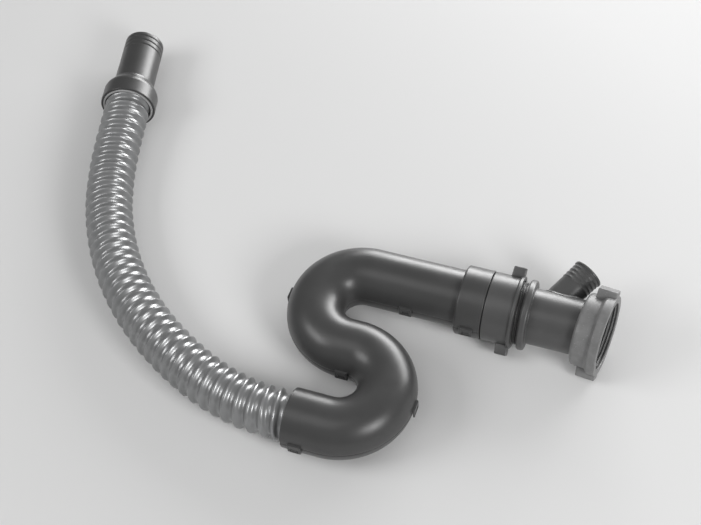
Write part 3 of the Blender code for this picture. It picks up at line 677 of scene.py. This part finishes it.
@dataclass
class ShellPair:
    """The two snapped half shells of the S, with their clips, seam and collar."""

    wardrobe: Wardrobe
    path: BendPath = field(default_factory=BendPath)
    tube_r: float = 21.0
    bore_r: float = 18.3
    collar_start: float = 66.0
    collar_end: float = 85.4
    collar_floor: float = 68.3
    collar_r: float = 25.2
    collar_bore_r: float = 22.8
    seam_edge: float = 0.4
    bend_margin: float = 0.4
    inlet_clip: float = 30.0
    near_clip: float = 10.7
    far_clip: float = 12.0
    clip_width: float = 9.6
    clip_thick: float = 1.1
    clip_top: float = 3.0
    clip_drop: float = 5.4
    window_width: float = 5.8
    window_top: float = 1.2
    window_height: float = 3.2
    nib_proud: float = 1.15

    def stations(self) -> tuple[np.ndarray, ...]:
        """Rows of the shell from the collar's mouth to the stub's mouth.

        Returns:
            Middle points and headings for the outside, its radii, then the same for the bore.
        """
        rim, lip = self.collar_end, (self.collar_r + self.collar_bore_r) / 2
        mouth, wall = self.path.stub_x, (self.tube_r + self.bore_r) / 2
        inlet_stop, stub_go = self.bend_margin, self.path.middle_straight - self.bend_margin
        bends, heading = self.path.bends()
        back = np.array((-1.0, 0.0))
        result = []
        for step, wide, narrow, rim_edge, step_edge, root_edge, mouth_edge in (
            (self.collar_start, self.collar_r, self.tube_r, 0.55, 2.4, 0.7, 0.6),
            (self.collar_floor, self.collar_bore_r, self.bore_r, 0.3, 0.3, 0.3, 0.3),
        ):
            first = rounded(
                [(rim, lip, 0), (rim, wide, rim_edge), (step, wide, step_edge),
                 (step, narrow, root_edge), (inlet_stop, narrow, 0)], closed=False, steps=5)
            last = rounded(
                [(stub_go, narrow, 0), (mouth, narrow, mouth_edge), (mouth, wall, 0)],
                closed=False, steps=5)
            inlet = np.stack([first[:, 0], np.zeros(len(first))], axis=1)
            stub = np.stack([last[:, 0], np.full(len(last), self.path.outlet_y)], axis=1)
            ends = np.broadcast_to(back, inlet.shape), np.broadcast_to(back, stub.shape)
            result += [
                np.concatenate([inlet, bends, stub]),
                np.concatenate([ends[0], heading, ends[1]]),
                np.concatenate([first[:, 1], np.full(len(bends), narrow), last[:, 1]])]
        return tuple(result)

    def half(self, side: float) -> np.ndarray:
        """One half shell, above (side 1) or below (side -1) the seam.

        A row's outline is an arc of the outer radius from seam to seam, a small round edge at both
        seams, and an arc of the bore back: (r cos a, r sin a), never lower than half the gap.

        Args:
            side: 1 for the upper half, -1 for the lower one.

        Returns:
            A grid of closed outlines, in millimetres along the trap's axes.
        """
        outer_at, outer_to, outer_r, inner_at, inner_to, inner_r = self.stations()
        low, edge = GAP / 2, self.seam_edge
        a = np.linspace(0.0, math.pi / 2, 4)  # the round edge at a seam
        edge_in, edge_up = edge * (1 - np.sin(a)), low + edge * (1 - np.cos(a))
        first = np.arcsin((low + edge) / outer_r)[:, None]
        arc = first + np.linspace(0.0, 1.0, 52)[None, 1:-1] * (math.pi - 2 * first)
        radius = outer_r[:, None]
        wide = np.sqrt(radius**2 - (low + edge) ** 2)
        across = np.concatenate(
            [wide - edge_in, radius * np.cos(arc), -(wide - edge_in)[:, ::-1]], axis=1)
        edges = np.broadcast_to(edge_up, (len(radius), len(a)))
        height = np.concatenate([edges, radius * np.sin(arc), edges[:, ::-1]], axis=1)
        bore = inner_r[:, None]
        first = np.arcsin(low / inner_r)[:, None]
        arc = (math.pi - first) - np.linspace(0.0, 1.0, 40)[None] * (math.pi - 2 * first)
        outside = self.spread(outer_at, outer_to, across, side * height)
        inside = self.spread(inner_at, inner_to, bore * np.cos(arc), side * bore * np.sin(arc))
        return np.concatenate([outside, inside], axis=1)

    @staticmethod
    def spread(
        at: np.ndarray, to: np.ndarray, across: np.ndarray, height: np.ndarray
    ) -> np.ndarray:
        """Points beside a path: middle point + across (-heading y, heading x), at that height."""
        x = at[:, :1] - to[:, 1:] * across
        y = at[:, 1:] + to[:, :1] * across
        return np.stack([x, y, height], axis=2)

    def clip_places(self) -> list[tuple[np.ndarray, np.ndarray, np.ndarray, float]]:
        """Where the clips sit: point on the middle line, heading, direction out, tube radius."""
        ahead, left = np.array((1.0, 0.0, 0.0)), np.array((0.0, 1.0, 0.0))
        r, straight, mouth = self.path.bend_radius, self.path.middle_straight, self.path.stub_x
        collar, outlet = (self.collar_start + self.collar_end) / 2, self.path.outlet_y
        places = [
            (self.inlet_clip, 0.0, ahead, -left, self.tube_r),
            (self.inlet_clip, 0.0, ahead, left, self.tube_r),
            (collar, 0.0, ahead, -left, self.collar_r),
            (collar, 0.0, ahead, left, self.collar_r),
            (-r, -r, left, -ahead, self.tube_r),
            (straight / 2, -2 * r, ahead, -left, self.tube_r),
            (straight / 2, -2 * r, ahead, left, self.tube_r),
            (straight + r, -3 * r, left, ahead, self.tube_r),
            (mouth + self.near_clip, outlet, ahead, -left, self.tube_r),
            (mouth + self.far_clip, outlet, ahead, left, self.tube_r)]
        return [(np.array((x, y, 0.0)), *rest) for x, y, *rest in places]

    def tab(self, radius: float) -> np.ndarray:
        """A clip's frame: loops round its outside and its window, at its near and far faces.

        Args:
            radius: the tube's outer radius where the clip sits.

        Returns:
            A grid closed both ways: along the heading, up, and outward from the middle line.
        """
        edge = 0.3
        tall = self.clip_top + self.clip_drop
        middle = (self.clip_top - self.clip_drop) / 2
        window_middle = -self.window_top - self.window_height / 2
        rims = []
        for width, height, at, corner in (
            (self.clip_width, tall, middle, 0.7),
            (self.clip_width - 2 * edge, tall - 2 * edge, middle, 0.6),
            (self.window_width + 2 * edge, self.window_height + 2 * edge, window_middle, 0.5),
            (self.window_width, self.window_height, window_middle, 0.4),
        ):
            rims.append(rounded_rectangle(width, height, corner) + np.array((0.0, at)))
        near = radius + GAP + 0.05
        far = near + self.clip_thick
        above_seam = np.clip((rims[0][:, 1] - 0.4) / 0.8, 0.0, 1.0)
        root = near - above_seam * (GAP + 0.95)  # above the seam the tab grows out of the shell
        loops = (
            (rims[0], root), (rims[0], far - edge), (rims[1], far),
            (rims[2], far), (rims[3], far - edge), (rims[3], near))
        return np.stack([
            np.column_stack([rim, np.broadcast_to(depth, len(rim))]) for rim, depth in loops])

    def nib(self, radius: float) -> np.ndarray:
        """A catch in a clip's window: a wedge with rounded ends, laid out as the tab is."""
        top, bottom = -self.window_top - GAP, -self.window_top - self.window_height + GAP
        root, crest = radius - 1.2, radius + self.nib_proud
        outline = rounded(
            [(top, root, 0), (top, radius + 0.5, 0.2), (bottom + 0.9, crest, 0.3),
             (bottom, crest, 0.25), (bottom, root, 0)], steps=3)
        bar = block(outline, self.window_width - 2 * GAP, 0.3)
        return bar[:, :, [2, 0, 1]]

    def build(self) -> list[bpy.types.Object]:
        """Both shells, dressed."""
        up = np.array((0.0, 0.0, 1.0))
        made = []
        for name, upper, node in (
            ("upper_shell", True, "shell_upper"), ("lower_shell", False, "shell_lower")
        ):
            side = 1.0 if upper else -1.0
            mould = Mould(name).grid(TRAP.place(self.half(side)), Wrap.COLUMNS)
            for point, heading, outward, radius in self.clip_places():
                local = self.tab(radius) if upper else self.nib(radius)
                placed = TRAP.place(point + local @ np.stack([heading, up, outward]))
                if upper:
                    mould.grid(placed, Wrap.BOTH)
                else:
                    mould.closed(placed)
            made.append(self.wardrobe.dress(mould.cast(), SHELL, "trap", node))
        return made


# ---------------------------------------------------------------- the screwed inlet


def lug_pair(
    axes: Axes, name: str, start: float, length: float, root: float, top: float, width: float,
    angle: float,
) -> list[bpy.types.Object]:
    """Two finger lugs on opposite sides of an axis.

    Args:
        axes: the nut's own axes.
        name: what the helpers are called.
        start: where they start along x.
        length: how long they are along x.
        root: radius where they start.
        top: radius where they end.
        width: how wide they are.
        angle: how far they are turned from y towards z, in degrees.

    Returns:
        Two objects that a nut is joined with.
    """
    low, high = start, start + length
    outline = rounded(
        [(low, root, 0), (low + 0.5, top, 1.1), (high, top, 0.7), (high, root, 0)], steps=4)
    bar = block(outline, width, 0.7)
    made = []
    for side in (0.0, math.pi):
        a = math.radians(angle) + side
        y = bar[..., 1] * math.cos(a) - bar[..., 2] * math.sin(a)
        z = bar[..., 1] * math.sin(a) + bar[..., 2] * math.cos(a)
        placed = axes.place(np.stack([bar[..., 0], y, z], axis=2))
        made.append(Mould(f"{name}_{len(made)}").closed(placed).cast())
    return made


@dataclass
class ScrewedInlet:
    """The hose's end collar and seal, the coupling nut, the gasket, the tailpiece and its washer.

    A size that is a pair of numbers is where a flat ring starts and ends along the inlet's axis.
    """

    wardrobe: Wardrobe
    sleeve_start: float = 70.0
    sleeve_r: float = 20.4
    flange_start: float = 92.0
    flange_end: float = 95.0
    flange_r: float = 22.2
    stop_bore_r: float = 15.6
    stop_x: float = 81.2
    hose_bore_r: float = 16.0
    hose_r: float = 18.0
    hose_hole_r: float = 18.3
    hose_seal: tuple[float, float] = (78.0, 80.9)
    gasket: tuple[float, float] = (95.3, 97.8)
    nut_start: float = 85.9
    nut_end: float = 107.4
    nut_r: float = 25.0
    nut_rim_r: float = 26.6
    nut_rim_length: float = 2.3
    nut_bore_r: float = 22.95
    nut_lip: float = 3.0
    nut_hole_r: float = 20.8
    lug_r: float = 32.0
    lug_start: float = 97.2
    lug_length: float = 9.2
    lug_width: float = 10.0
    lug_angle: float = 35.0
    tail_start: float = 98.1
    thread_r: float = 22.6
    thread_pitch: float = 1.5
    stop_start: float = 112.0
    stop_end: float = 116.8
    stop_r: float = 25.5
    tail_r: float = 20.0
    tail_bore_r: float = 17.5
    end_start: float = 162.4
    end_r: float = 22.4
    tail_end: float = 165.0
    washer: tuple[float, float] = (165.3, 167.9)
    washer_r: float = 22.0
    branch_start: float = 8.75
    branch_clear: float = 33.0
    branch_r: float = 11.0
    barb_r: float = 11.75
    branch_bore_r: float = 8.8
    branch_reach: float = 48.0
    barb_pitch: float = 3.2
    barbs: int = 4
    root_fillet: float = 1.2

    def end_collar(self) -> list[bpy.types.Object]:
        """The collar on the hose's inlet end and the seal behind the hose."""
        collar = rounded([
            (self.sleeve_start, self.sleeve_r, 0.6), (self.flange_start, self.sleeve_r, 0.4),
            (self.flange_start, self.flange_r, 0.4), (self.flange_end, self.flange_r, 0.5),
            (self.flange_end, self.stop_bore_r, 0.5), (self.stop_x, self.stop_bore_r, 0.3),
            (self.stop_x, self.hose_hole_r, 0.2), (self.sleeve_start, self.hose_hole_r, 0.4)])
        seal = ring_section(*self.hose_seal, self.hose_r, self.hose_bore_r, 0.6)
        dress = self.wardrobe.dress
        return [
            dress(ring("inlet_end_collar", TRAP, collar), FITTING, "trap", "hose_end_collar"),
            dress(ring("inlet_hose_seal", TRAP, seal), RUBBER, "trap", "hose_seal")]

    def coupling(self) -> list[bpy.types.Object]:
        """The coupling nut with its two lugs, and its gasket."""
        start, end, bore = self.nut_start, self.nut_end, self.nut_bore_r
        rim, low = end - self.nut_rim_length, start + self.nut_lip
        outline = rounded([
            (start, self.nut_r, 0.8), (rim - 0.5, self.nut_r, 0.5), (rim, self.nut_rim_r, 0.6),
            (end, self.nut_rim_r, 0.7), (end, bore, 0.4), (low, bore, 0.2),
            (low, self.nut_hole_r, 0.2), (start, self.nut_hole_r, 0.4)])
        inside = Thread(low + 0.6, end - 0.2, bore, self.thread_pitch, 0.7, inward=True)
        nut = ring("coupling_ring_nut", TRAP, denser(outline, low, end, 0.25), inside)
        carve(nut, lug_pair(
            TRAP, "coupling_lug", self.lug_start, self.lug_length, self.nut_r - 0.8, self.lug_r,
            self.lug_width, self.lug_angle))
        section = ring_section(*self.gasket, self.flange_r, self.hose_bore_r, 0.7)
        gasket = ring("coupling_flat_gasket", TRAP, section)
        return [
            self.wardrobe.dress(nut, FITTING, "coupling_nut", "coupling_nut"),
            self.wardrobe.dress(gasket, RUBBER, "coupling_gasket", "coupling_gasket")]

    def branch_outline(self) -> np.ndarray:
        """The branch from inside the tube to its end: barbs with steep fronts and an end lip."""
        end, r, crest = self.branch_reach, self.branch_r, self.barb_r
        corners = [(self.branch_start, 0.0, 0), (self.branch_start, r, 0)]
        for barb in range(self.barbs):
            low = end - 1.6 - (self.barbs - barb) * self.barb_pitch
            corners += [(low, r, 0.1), (low + 0.45, r + 0.4, 0.3), (low + 2.3, r, 0.6)]
        corners += [(end - 1.9, r, 0.2), (end - 1.6, crest, 0.3), (end, crest, 0.5), (end, 0.0, 0)]
        return rounded(corners, closed=False, steps=3)

    def branch_solid(self) -> bpy.types.Object:
        """The branch without its bore, with a round fillet where it leaves the tube.

        At height d above the tube's surface the branch is f - sqrt(f^2 - (f - d)^2) wider, for d
        under the fillet radius f.
        """
        outline = denser(self.branch_outline(), self.branch_start, self.branch_clear, 0.5)
        grid = turned(outline, 96)
        in_trap = grid @ np.array(BRANCH_TURN.to_3x3()).T
        fillet = self.root_fillet
        height = np.hypot(in_trap[..., 1], in_trap[..., 2]) - self.tail_r + 0.05
        d = np.clip(height, 0.0, fillet)
        grow = fillet - np.sqrt(np.maximum(fillet**2 - (fillet - d) ** 2, 0.0))
        radius = np.hypot(grid[..., 1], grid[..., 2])
        near_root = (grid[..., 0] < self.branch_clear) & (radius > 1.0)
        scale = np.where(near_root, (radius + grow) / np.maximum(radius, 1e-6), 1.0)
        grid = grid * np.stack([np.ones_like(scale), scale, scale], axis=2)
        return Mould("branch_outside").grid(BRANCH_AXES.place(grid), Wrap.ROWS).cast()

    @staticmethod
    def rod(name: str, axes: Axes, low: float, high: float, radius: float) -> bpy.types.Object:
        """A plain round cutter along an axis."""
        outline = np.array([(low, 0.0), (low, radius), (high, radius), (high, 0.0)])
        return Mould(name).grid(axes.place(turned(outline, SIDES)), Wrap.ROWS).cast()

    def tailpiece(self) -> list[bpy.types.Object]:
        """The threaded tailpiece with its stop flange, end flange and branch, and its washer."""
        start, end = self.tail_start, self.tail_end
        outline = rounded([
            (start, 0.0, 0), (start, self.thread_r, 0.8), (self.stop_start, self.thread_r, 0.3),
            (self.stop_start, self.stop_r, 1.7), (self.stop_end, self.stop_r, 1.9),
            (self.stop_end, self.tail_r, 0.6), (self.end_start, self.tail_r, 0.4),
            (self.end_start, self.end_r, 0.4), (end, self.end_r, 0.5), (end, 0.0, 0),
        ], closed=False)
        outline = denser(outline, start, self.stop_start, 0.16)
        thread = Thread(
            start + 0.4, self.stop_start - 0.2, self.thread_r, self.thread_pitch, 0.8, runout=0.6)
        grid = turned(outline, SIDES, thread)
        tail = Mould("threaded_tailpiece").grid(TRAP.place(grid), Wrap.ROWS).cast()
        tail_bore = self.rod("tail_bore", TRAP, start - 2, end + 2, self.tail_bore_r)
        branch_bore = self.rod(
            "branch_bore", BRANCH_AXES, 0.0, self.branch_reach + 2, self.branch_bore_r)
        carve(tail, joined=[self.branch_solid()], cut=[tail_bore, branch_bore])
        section = ring_section(*self.washer, self.washer_r, self.tail_bore_r, 0.8)
        washer = ring("union_flat_washer", TRAP, section)
        return [
            self.wardrobe.dress(tail, FITTING, "tailpiece", "tailpiece"),
            self.wardrobe.dress(washer, RUBBER, "tailpiece", "union_washer")]

    def build(self) -> list[bpy.types.Object]:
        """Every piece of the inlet, dressed."""
        return [*self.end_collar(), *self.coupling(), *self.tailpiece()]


@dataclass
class UnionNut:
    """The wide nut that hangs a little askew on the tailpiece, with its slip ring."""

    wardrobe: Wardrobe
    left: float = -1.35
    right: float = 18.75
    floor: float = 1.35
    body_r: float = 26.4
    rim_r: float = 29.4
    rim_length: float = 6.2
    bore_r: float = 24.2
    hole_r: float = 20.9
    lug_r: float = 33.0
    lug_length: float = 14.3
    lug_width: float = 10.0
    lug_angle: float = 50.0
    thread_pitch: float = 2.309
    slip: tuple[float, float] = (1.65, 3.15)
    slip_r: float = 23.8

    def build(self) -> list[bpy.types.Object]:
        """The nut with its lugs and inside thread, and the ring that holds it on."""
        left, right, floor, body, bore = self.left, self.right, self.floor, self.body_r, self.bore_r
        rim = right - self.rim_length
        outline = rounded([
            (left, body - 2.9, 0.5), (left + 1.0, body - 0.6, 1.2), (left + 3.0, body, 0.8),
            (rim - 2.2, body, 1.0), (rim, self.rim_r, 1.0), (right, self.rim_r, 0.6),
            (right, bore, 0.6), (floor, bore, 0.4), (floor, self.hole_r, 0.3),
            (left, self.hole_r, 0.5)])
        thread = Thread(floor + 4.0, right - 0.8, bore, self.thread_pitch, 1.1, inward=True)
        nut = ring("union_ring_nut", NUT_AXES, denser(outline, floor, right, 0.3), thread)
        carve(nut, lug_pair(
            NUT_AXES, "union_lug", right - 0.3 - self.lug_length, self.lug_length, body - 0.9,
            self.lug_r, self.lug_width, self.lug_angle))
        section = ring_section(*self.slip, self.slip_r, self.hole_r, 0.4)
        slip = ring("union_slip_band", NUT_AXES, section)
        return [
            self.wardrobe.dress(nut, NUT, "union_nut", "union_nut"),
            self.wardrobe.dress(slip, PALE, "union_slip_ring", "union_slip_ring")]


# ---------------------------------------------------------------- the corrugated hose


@dataclass
class CorrugatedHose:
    """One helically ribbed hose: the stretch held in the S and the stretch on the floor."""

    wardrobe: Wardrobe
    path: BendPath = field(default_factory=BendPath)
    crest_r: float = 18.0
    pitch: float = 8.8
    depth: float = 3.3
    wall: float = 0.9
    rings_per_pitch: int = 14
    sides: int = 72
    held_start: float = 77.7
    bend_margin: float = 0.5
    route_points: tuple[tuple[float, float, float], ...] = (
        (0.0, 0.0, 0.0), (-0.0100, 0.0000, -0.0004), (-0.0200, 0.0000, -0.0008),
        (-0.0390, 0.0024, -0.0017), (-0.0649, 0.0096, -0.0029), (-0.0925, 0.0219, -0.0036),
        (-0.1192, 0.0376, -0.0036), (-0.1428, 0.0561, -0.0036), (-0.1638, 0.0775, -0.0036),
        (-0.1817, 0.1015, -0.0036), (-0.1969, 0.1284, -0.0036), (-0.2081, 0.1562, -0.0035),
        (-0.2161, 0.1836, -0.0018), (-0.2224, 0.2116, 0.0004), (-0.2292, 0.2403, 0.0005))

    def route(self) -> np.ndarray:
        """The middle line on the floor: a Catmull-Rom curve through the route's points, in metres.

        Between knots b and c, with a before and d after, it is
        (2b + (c-a) t + (2a-5b+4c-d) t^2 + (3b-a-3c+d) t^3) / 2.
        """
        knots = np.array(self.route_points)
        knots = np.concatenate([2 * knots[:1] - knots[1:2], knots, 2 * knots[-1:] - knots[-2:-1]])
        a, b, c, d = (knots[k : len(knots) - 3 + k, None] for k in range(4))
        t = np.linspace(0.0, 1.0, 24, endpoint=False)[None, :, None]
        bow, twist = 2 * a - 5 * b + 4 * c - d, 3 * b - a - 3 * c + d
        curve = (2 * b + (c - a) * t + bow * t**2 + twist * t**3) / 2
        line = np.concatenate([curve.reshape(-1, 3), knots[-2:-1]])
        line[0, 0] -= GAP * MM
        return STUB_MOUTH + line

    def held_line(self) -> np.ndarray:
        """The middle line inside the shells, in metres."""
        bends, _ = self.path.bends()
        inlet = np.array([(self.held_start, 0.0), (self.bend_margin, 0.0)])
        outlet = self.path.outlet_y
        go = self.path.middle_straight - self.bend_margin
        stub = np.array([(go, outlet), (self.path.stub_x + GAP / 2, outlet)])
        flat = np.concatenate([inlet, bends, stub])
        return TRAP.place(np.concatenate([flat, np.zeros((len(flat), 1))], axis=1))

    def evenly(self, line: np.ndarray) -> tuple[np.ndarray, np.ndarray]:
        """Points at even distances along a line, and how far along each one is, in metres."""
        steps = np.linalg.norm(np.diff(line, axis=0), axis=1)
        travelled = np.concatenate([[0.0], np.cumsum(steps)])
        count = max(2, round(travelled[-1] / (self.pitch * MM) * self.rings_per_pitch) + 1)
        at = np.linspace(0.0, travelled[-1], count)
        return np.stack([np.interp(at, travelled, line[:, k]) for k in range(3)], axis=1), at

    def ribs(self, at: np.ndarray, angle: np.ndarray) -> np.ndarray:
        """How deep the surface lies under the crest, in millimetres.

        The phase is distance / pitch - angle / turn. The ribs are narrow and round and the
        valleys between them a little broader: depth (1 - (0.5 + 0.5 cos phase)^1.8).
        """
        phase = TURN * (at / (self.pitch * MM)) - angle
        return self.depth * (1.0 - (0.5 + 0.5 * np.cos(phase)) ** 1.8)

    def tube(
        self, name: str, line: np.ndarray, start: float
    ) -> tuple[bpy.types.Object, np.ndarray]:
        """A ribbed pipe along a line.

        Rings of (cos a, sin a) stand square to the line, the outer wall out and the inner wall
        back, and both follow the ribs.

        Args:
            name: name of the piece.
            line: its middle line, in metres.
            start: distance along the whole hose where the line starts, in metres.

        Returns:
            The piece and the centres of its rings.
        """
        centres, at = self.evenly(line)
        heading = np.gradient(centres, axis=0)
        heading /= np.linalg.norm(heading, axis=1)[:, None]
        across = np.cross(np.array((0.0, 0.0, 1.0)), heading)
        across /= np.linalg.norm(across, axis=1)[:, None]
        upward = np.cross(heading, across)
        angle = np.arange(self.sides)[None, :] * (TURN / self.sides)
        outer = self.crest_r - self.ribs((start + at)[:, None], angle)
        walls = []
        for radius in (outer, outer - self.wall):
            side = (radius * np.cos(angle) * MM)[..., None] * across[:, None]
            rise = (radius * np.sin(angle) * MM)[..., None] * upward[:, None]
            walls.append(centres[:, None] + side + rise)
        grid = np.concatenate([walls[0], walls[1][::-1]])
        return Mould(name).grid(grid, Wrap.BOTH).cast(), centres

    def build(self, ends: Sequence[bpy.types.Object]) -> list[bpy.types.Object]:
        """Both stretches, dressed.

        Args:
            ends: the nozzle and what it holds on the hose's far end; not used.

        Returns:
            The two pieces.
        """
        held_line = self.held_line()
        held_length = float(np.linalg.norm(np.diff(held_line, axis=0), axis=1).sum())
        held, _ = self.tube("held_hose", held_line, 0.0)
        free, centres = self.tube("floor_hose", self.route(), held_length)
        self.wardrobe.dress(held, HOSE, "trap", "hose_in_trap")
        self.wardrobe.dress(free, HOSE, "trap", "drain_hose")
        return [held, free]


@dataclass
class OutletNozzle:
    """The push-in nozzle on the hose's far end, with the ring and the seal inside its cuff."""

    wardrobe: Wardrobe
    cuff_r: float = 22.0
    cuff_bore_r: float = 20.4
    cuff_length: float = 14.5
    cuff_depth: float = 17.0
    shoulder_end: float = 20.0
    shoulder_r: float = 17.9
    end_ring: tuple[float, float] = (-0.6, 6.0)
    end_ring_bore_r: float = 18.5
    end_seal: tuple[float, float] = (14.1, 16.7)
    spigot_start: float = 23.1
    spigot_end: float = 72.1
    spigot_r: float = 16.0
    bore_r: float = 13.6
    grooves: int = 3
    groove_pitch: float = 4.8
    groove_depth: float = 0.6

    def outline(self) -> np.ndarray:
        """The nozzle's wall: cuff, shoulder, grooved spigot with a round tip, and the bore back."""
        tip, r = self.spigot_end, self.spigot_r
        corners = [
            (0.0, self.cuff_r, 0.8), (self.cuff_length, self.cuff_r, 2.4),
            (self.shoulder_end, self.shoulder_r, 2.6), (self.spigot_start, r + 1.0, 0.5),
            (self.spigot_start + 0.3, r, 0.3)]
        for groove in range(self.grooves):
            low = tip - (self.grooves - groove) * self.groove_pitch
            bottom = (low + 0.3, r - self.groove_depth, 0.1)
            corners += [(low, r, 0.15), bottom, (low + 1.5, r, 0.5)]
        corners += [
            (tip, r - 0.1, 1.9), (tip, self.bore_r, 0.8), (self.cuff_depth, self.bore_r, 0.4),
            (self.cuff_depth, self.cuff_bore_r, 0.4), (0.0, self.cuff_bore_r, 0.5)]
        return rounded(corners)

    def build(self) -> list[bpy.types.Object]:
        """The nozzle, its ring and its seal, dressed."""
        fits_cuff = self.cuff_bore_r - GAP
        nozzle = ring("push_in_nozzle", NOZZLE_AXES, self.outline())
        made = [self.wardrobe.dress(nozzle, SHADED_NOZZLE, "outlet_nozzle", "outlet_nozzle")]
        for name, span, bore, edge, finish, node in (
            ("hose_end_ring", self.end_ring, self.end_ring_bore_r, 0.4, PALE, "nozzle_ring"),
            ("hose_end_seal", self.end_seal, self.bore_r, 0.6, RUBBER, "nozzle_seal"),
        ):
            piece = ring(name, NOZZLE_AXES, ring_section(*span, fits_cuff, bore, edge))
            made.append(self.wardrobe.dress(piece, finish, "trap", node))
        return made


# ---------------------------------------------------------------- studio


@dataclass(frozen=True)
class Softbox:
    """One rectangular lamp that faces the trap."""

    name: str
    bearing: float
    rise: float
    distance: float
    width: float
    height: float
    radiance: float
    gleam_only: bool = False

    def hang(self, target: Vector) -> None:
        """Place the lamp.

        Args:
            target: the point that it faces. Bearing is counted from +y towards +x.
        """
        data = bpy.data.lights.new(self.name, "AREA")
        data.shape, data.size, data.size_y = "RECTANGLE", self.width, self.height
        data.energy = self.radiance * math.pi * self.width * self.height
        lamp = linked(self.name, data)
        b, e = math.radians(self.bearing), math.radians(self.rise)
        away = Vector((math.sin(b) * math.cos(e), math.cos(b) * math.cos(e), math.sin(e)))
        lamp.location = target + away * self.distance
        lamp.rotation_euler = away.to_track_quat("Z", "Y").to_euler()
        lamp.visible_camera = False
        lamp.visible_diffuse = not self.gleam_only


@dataclass
class Studio:
    """Pale floor, soft lamps and the camera."""

    target: tuple[float, float, float] = (-0.081876, 0.060921, 0.021)
    camera_back: tuple[float, float, float] = (0.20452, -0.55736, 0.80469)
    camera_distance: float = 0.94322
    camera_roll: float = -1.51
    focal: float = 65.57
    world_light: float = 0.27
    floor_reach: float = 3.0
    near_tones: tuple[tuple[float, ...], ...] = ((0.69, 0.69, 0.688, 1.0), (0.71, 0.71, 0.709, 1.0))
    # Painted light: the floor's colour brightens from the near tones to this far tone towards the
    # back right, a painted pool of the lamps' light.
    painted_light_tone: tuple[float, ...] = (0.84, 0.84, 0.84, 1.0)
    painted_light_towards: tuple[float, float, float] = (0.42, 0.908, 0.0)
    painted_light_span: tuple[float, float] = (-0.31, 0.37)
    painted_light_power: float = 1.8
    lamps: tuple[Softbox, ...] = (
        Softbox("back window", 15.0, 17.5, 1.3, 1.6, 0.84, 3.4),
        Softbox("back gleam", 15.0, 13.0, 1.3, 1.6, 0.64, 8.0, gleam_only=True),
        Softbox("right box", 121.0, 32.0, 1.3, 0.42, 0.42, 13.0),
        Softbox("left box", -121.0, 38.0, 1.3, 0.6, 0.45, 6.0),
        Softbox("top box", -150.0, 66.0, 1.5, 0.9, 0.7, 1.2),
    )

    def floor(self) -> None:
        """A wide pale floor, faintly uneven, with painted light: its colour grows brighter towards
        the back right.
        """
        reach = np.linspace(-self.floor_reach, self.floor_reach, 13)
        x, y = np.meshgrid(reach, reach, indexing="ij")
        piece = Mould("floor").grid(np.stack([x, y, np.zeros_like(x)], axis=2), Wrap.NONE).cast()
        made, w, shader = new_material("pale floor")
        place = w.node("ShaderNodeTexCoord").outputs["Object"]
        cloud = w.node("ShaderNodeTexNoise", {"Vector": place, "Scale": 3.0, "Detail": 2.0})
        near_tone = w.mixed(cloud.outputs[0], *self.near_tones)
        # Painted light: the colour is mixed towards the bright far tone along the direction of the
        # back-right lamps.
        facing = {0: place, 1: self.painted_light_towards}
        along = w.node("ShaderNodeVectorMath", facing, operation="DOT_PRODUCT").outputs["Value"]
        far = w.ramp(along, *self.painted_light_span, 0.0, 1.0)
        share = w.node("ShaderNodeMath", {0: far, 1: self.painted_light_power}, operation="POWER")
        tone = w.mixed(share.outputs[0], near_tone, self.painted_light_tone)
        made.node_tree.links.new(tone, shader.inputs["Base Color"])
        shader.inputs["Roughness"].default_value = 0.75
        shader.inputs["Specular IOR Level"].default_value = 0.2
        piece.data.materials.append(made)

    def camera(self) -> None:
        """The camera: it looks along minus camera_back at the target and is rolled a little."""
        back = Vector(self.camera_back).normalized()
        right = (-back).cross(Vector((0.0, 0.0, 1.0))).normalized()
        up = right.cross(-back)
        roll = math.radians(self.camera_roll)
        across = right * math.cos(roll) + up * math.sin(roll)
        upward = up * math.cos(roll) - right * math.sin(roll)
        data = bpy.data.cameras.new("camera")
        data.sensor_width, data.lens = 36.0, self.focal
        camera = linked("camera", data)
        place = Matrix.Translation(Vector(self.target) + back * self.camera_distance)
        camera.matrix_world = place @ Matrix((across, upward, back)).transposed().to_4x4()
        bpy.context.scene.camera = camera

    def light(self) -> None:
        """Even light from all round, and the lamps."""
        world = bpy.data.worlds.new("studio")
        bpy.context.scene.world = world
        world.use_nodes = True
        sky = world.node_tree.nodes["Background"]
        sky.inputs["Color"].default_value = (1.0, 1.0, 1.0, 1.0)
        sky.inputs["Strength"].default_value = self.world_light
        for lamp in self.lamps:
            lamp.hang(Vector(self.target))
        bpy.context.scene.view_settings.view_transform = "Standard"

    def build(self) -> None:
        """Floor, camera and light."""
        self.floor()
        self.camera()
        self.light()


def clear_opening_scene() -> None:
    """Remove what the file opened with."""
    for thing in list(bpy.data.objects):
        bpy.data.objects.remove(thing, do_unlink=True)


def main() -> None:
    """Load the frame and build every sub-assembly round it."""
    logging.basicConfig(level=logging.INFO, format="%(name)s: %(message)s")
    clear_opening_scene()
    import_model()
    Studio().build()
    wardrobe = Wardrobe()
    pieces: list[bpy.types.Object] = []
    for maker in (ShellPair, ScrewedInlet, UnionNut):
        pieces += maker(wardrobe).build()
    ends = OutletNozzle(wardrobe).build()
    pieces += [*ends, *CorrugatedHose(wardrobe).build(ends)]
    LOG.info("%d pieces built", len(pieces))


if __name__ == "__main__":
    main()
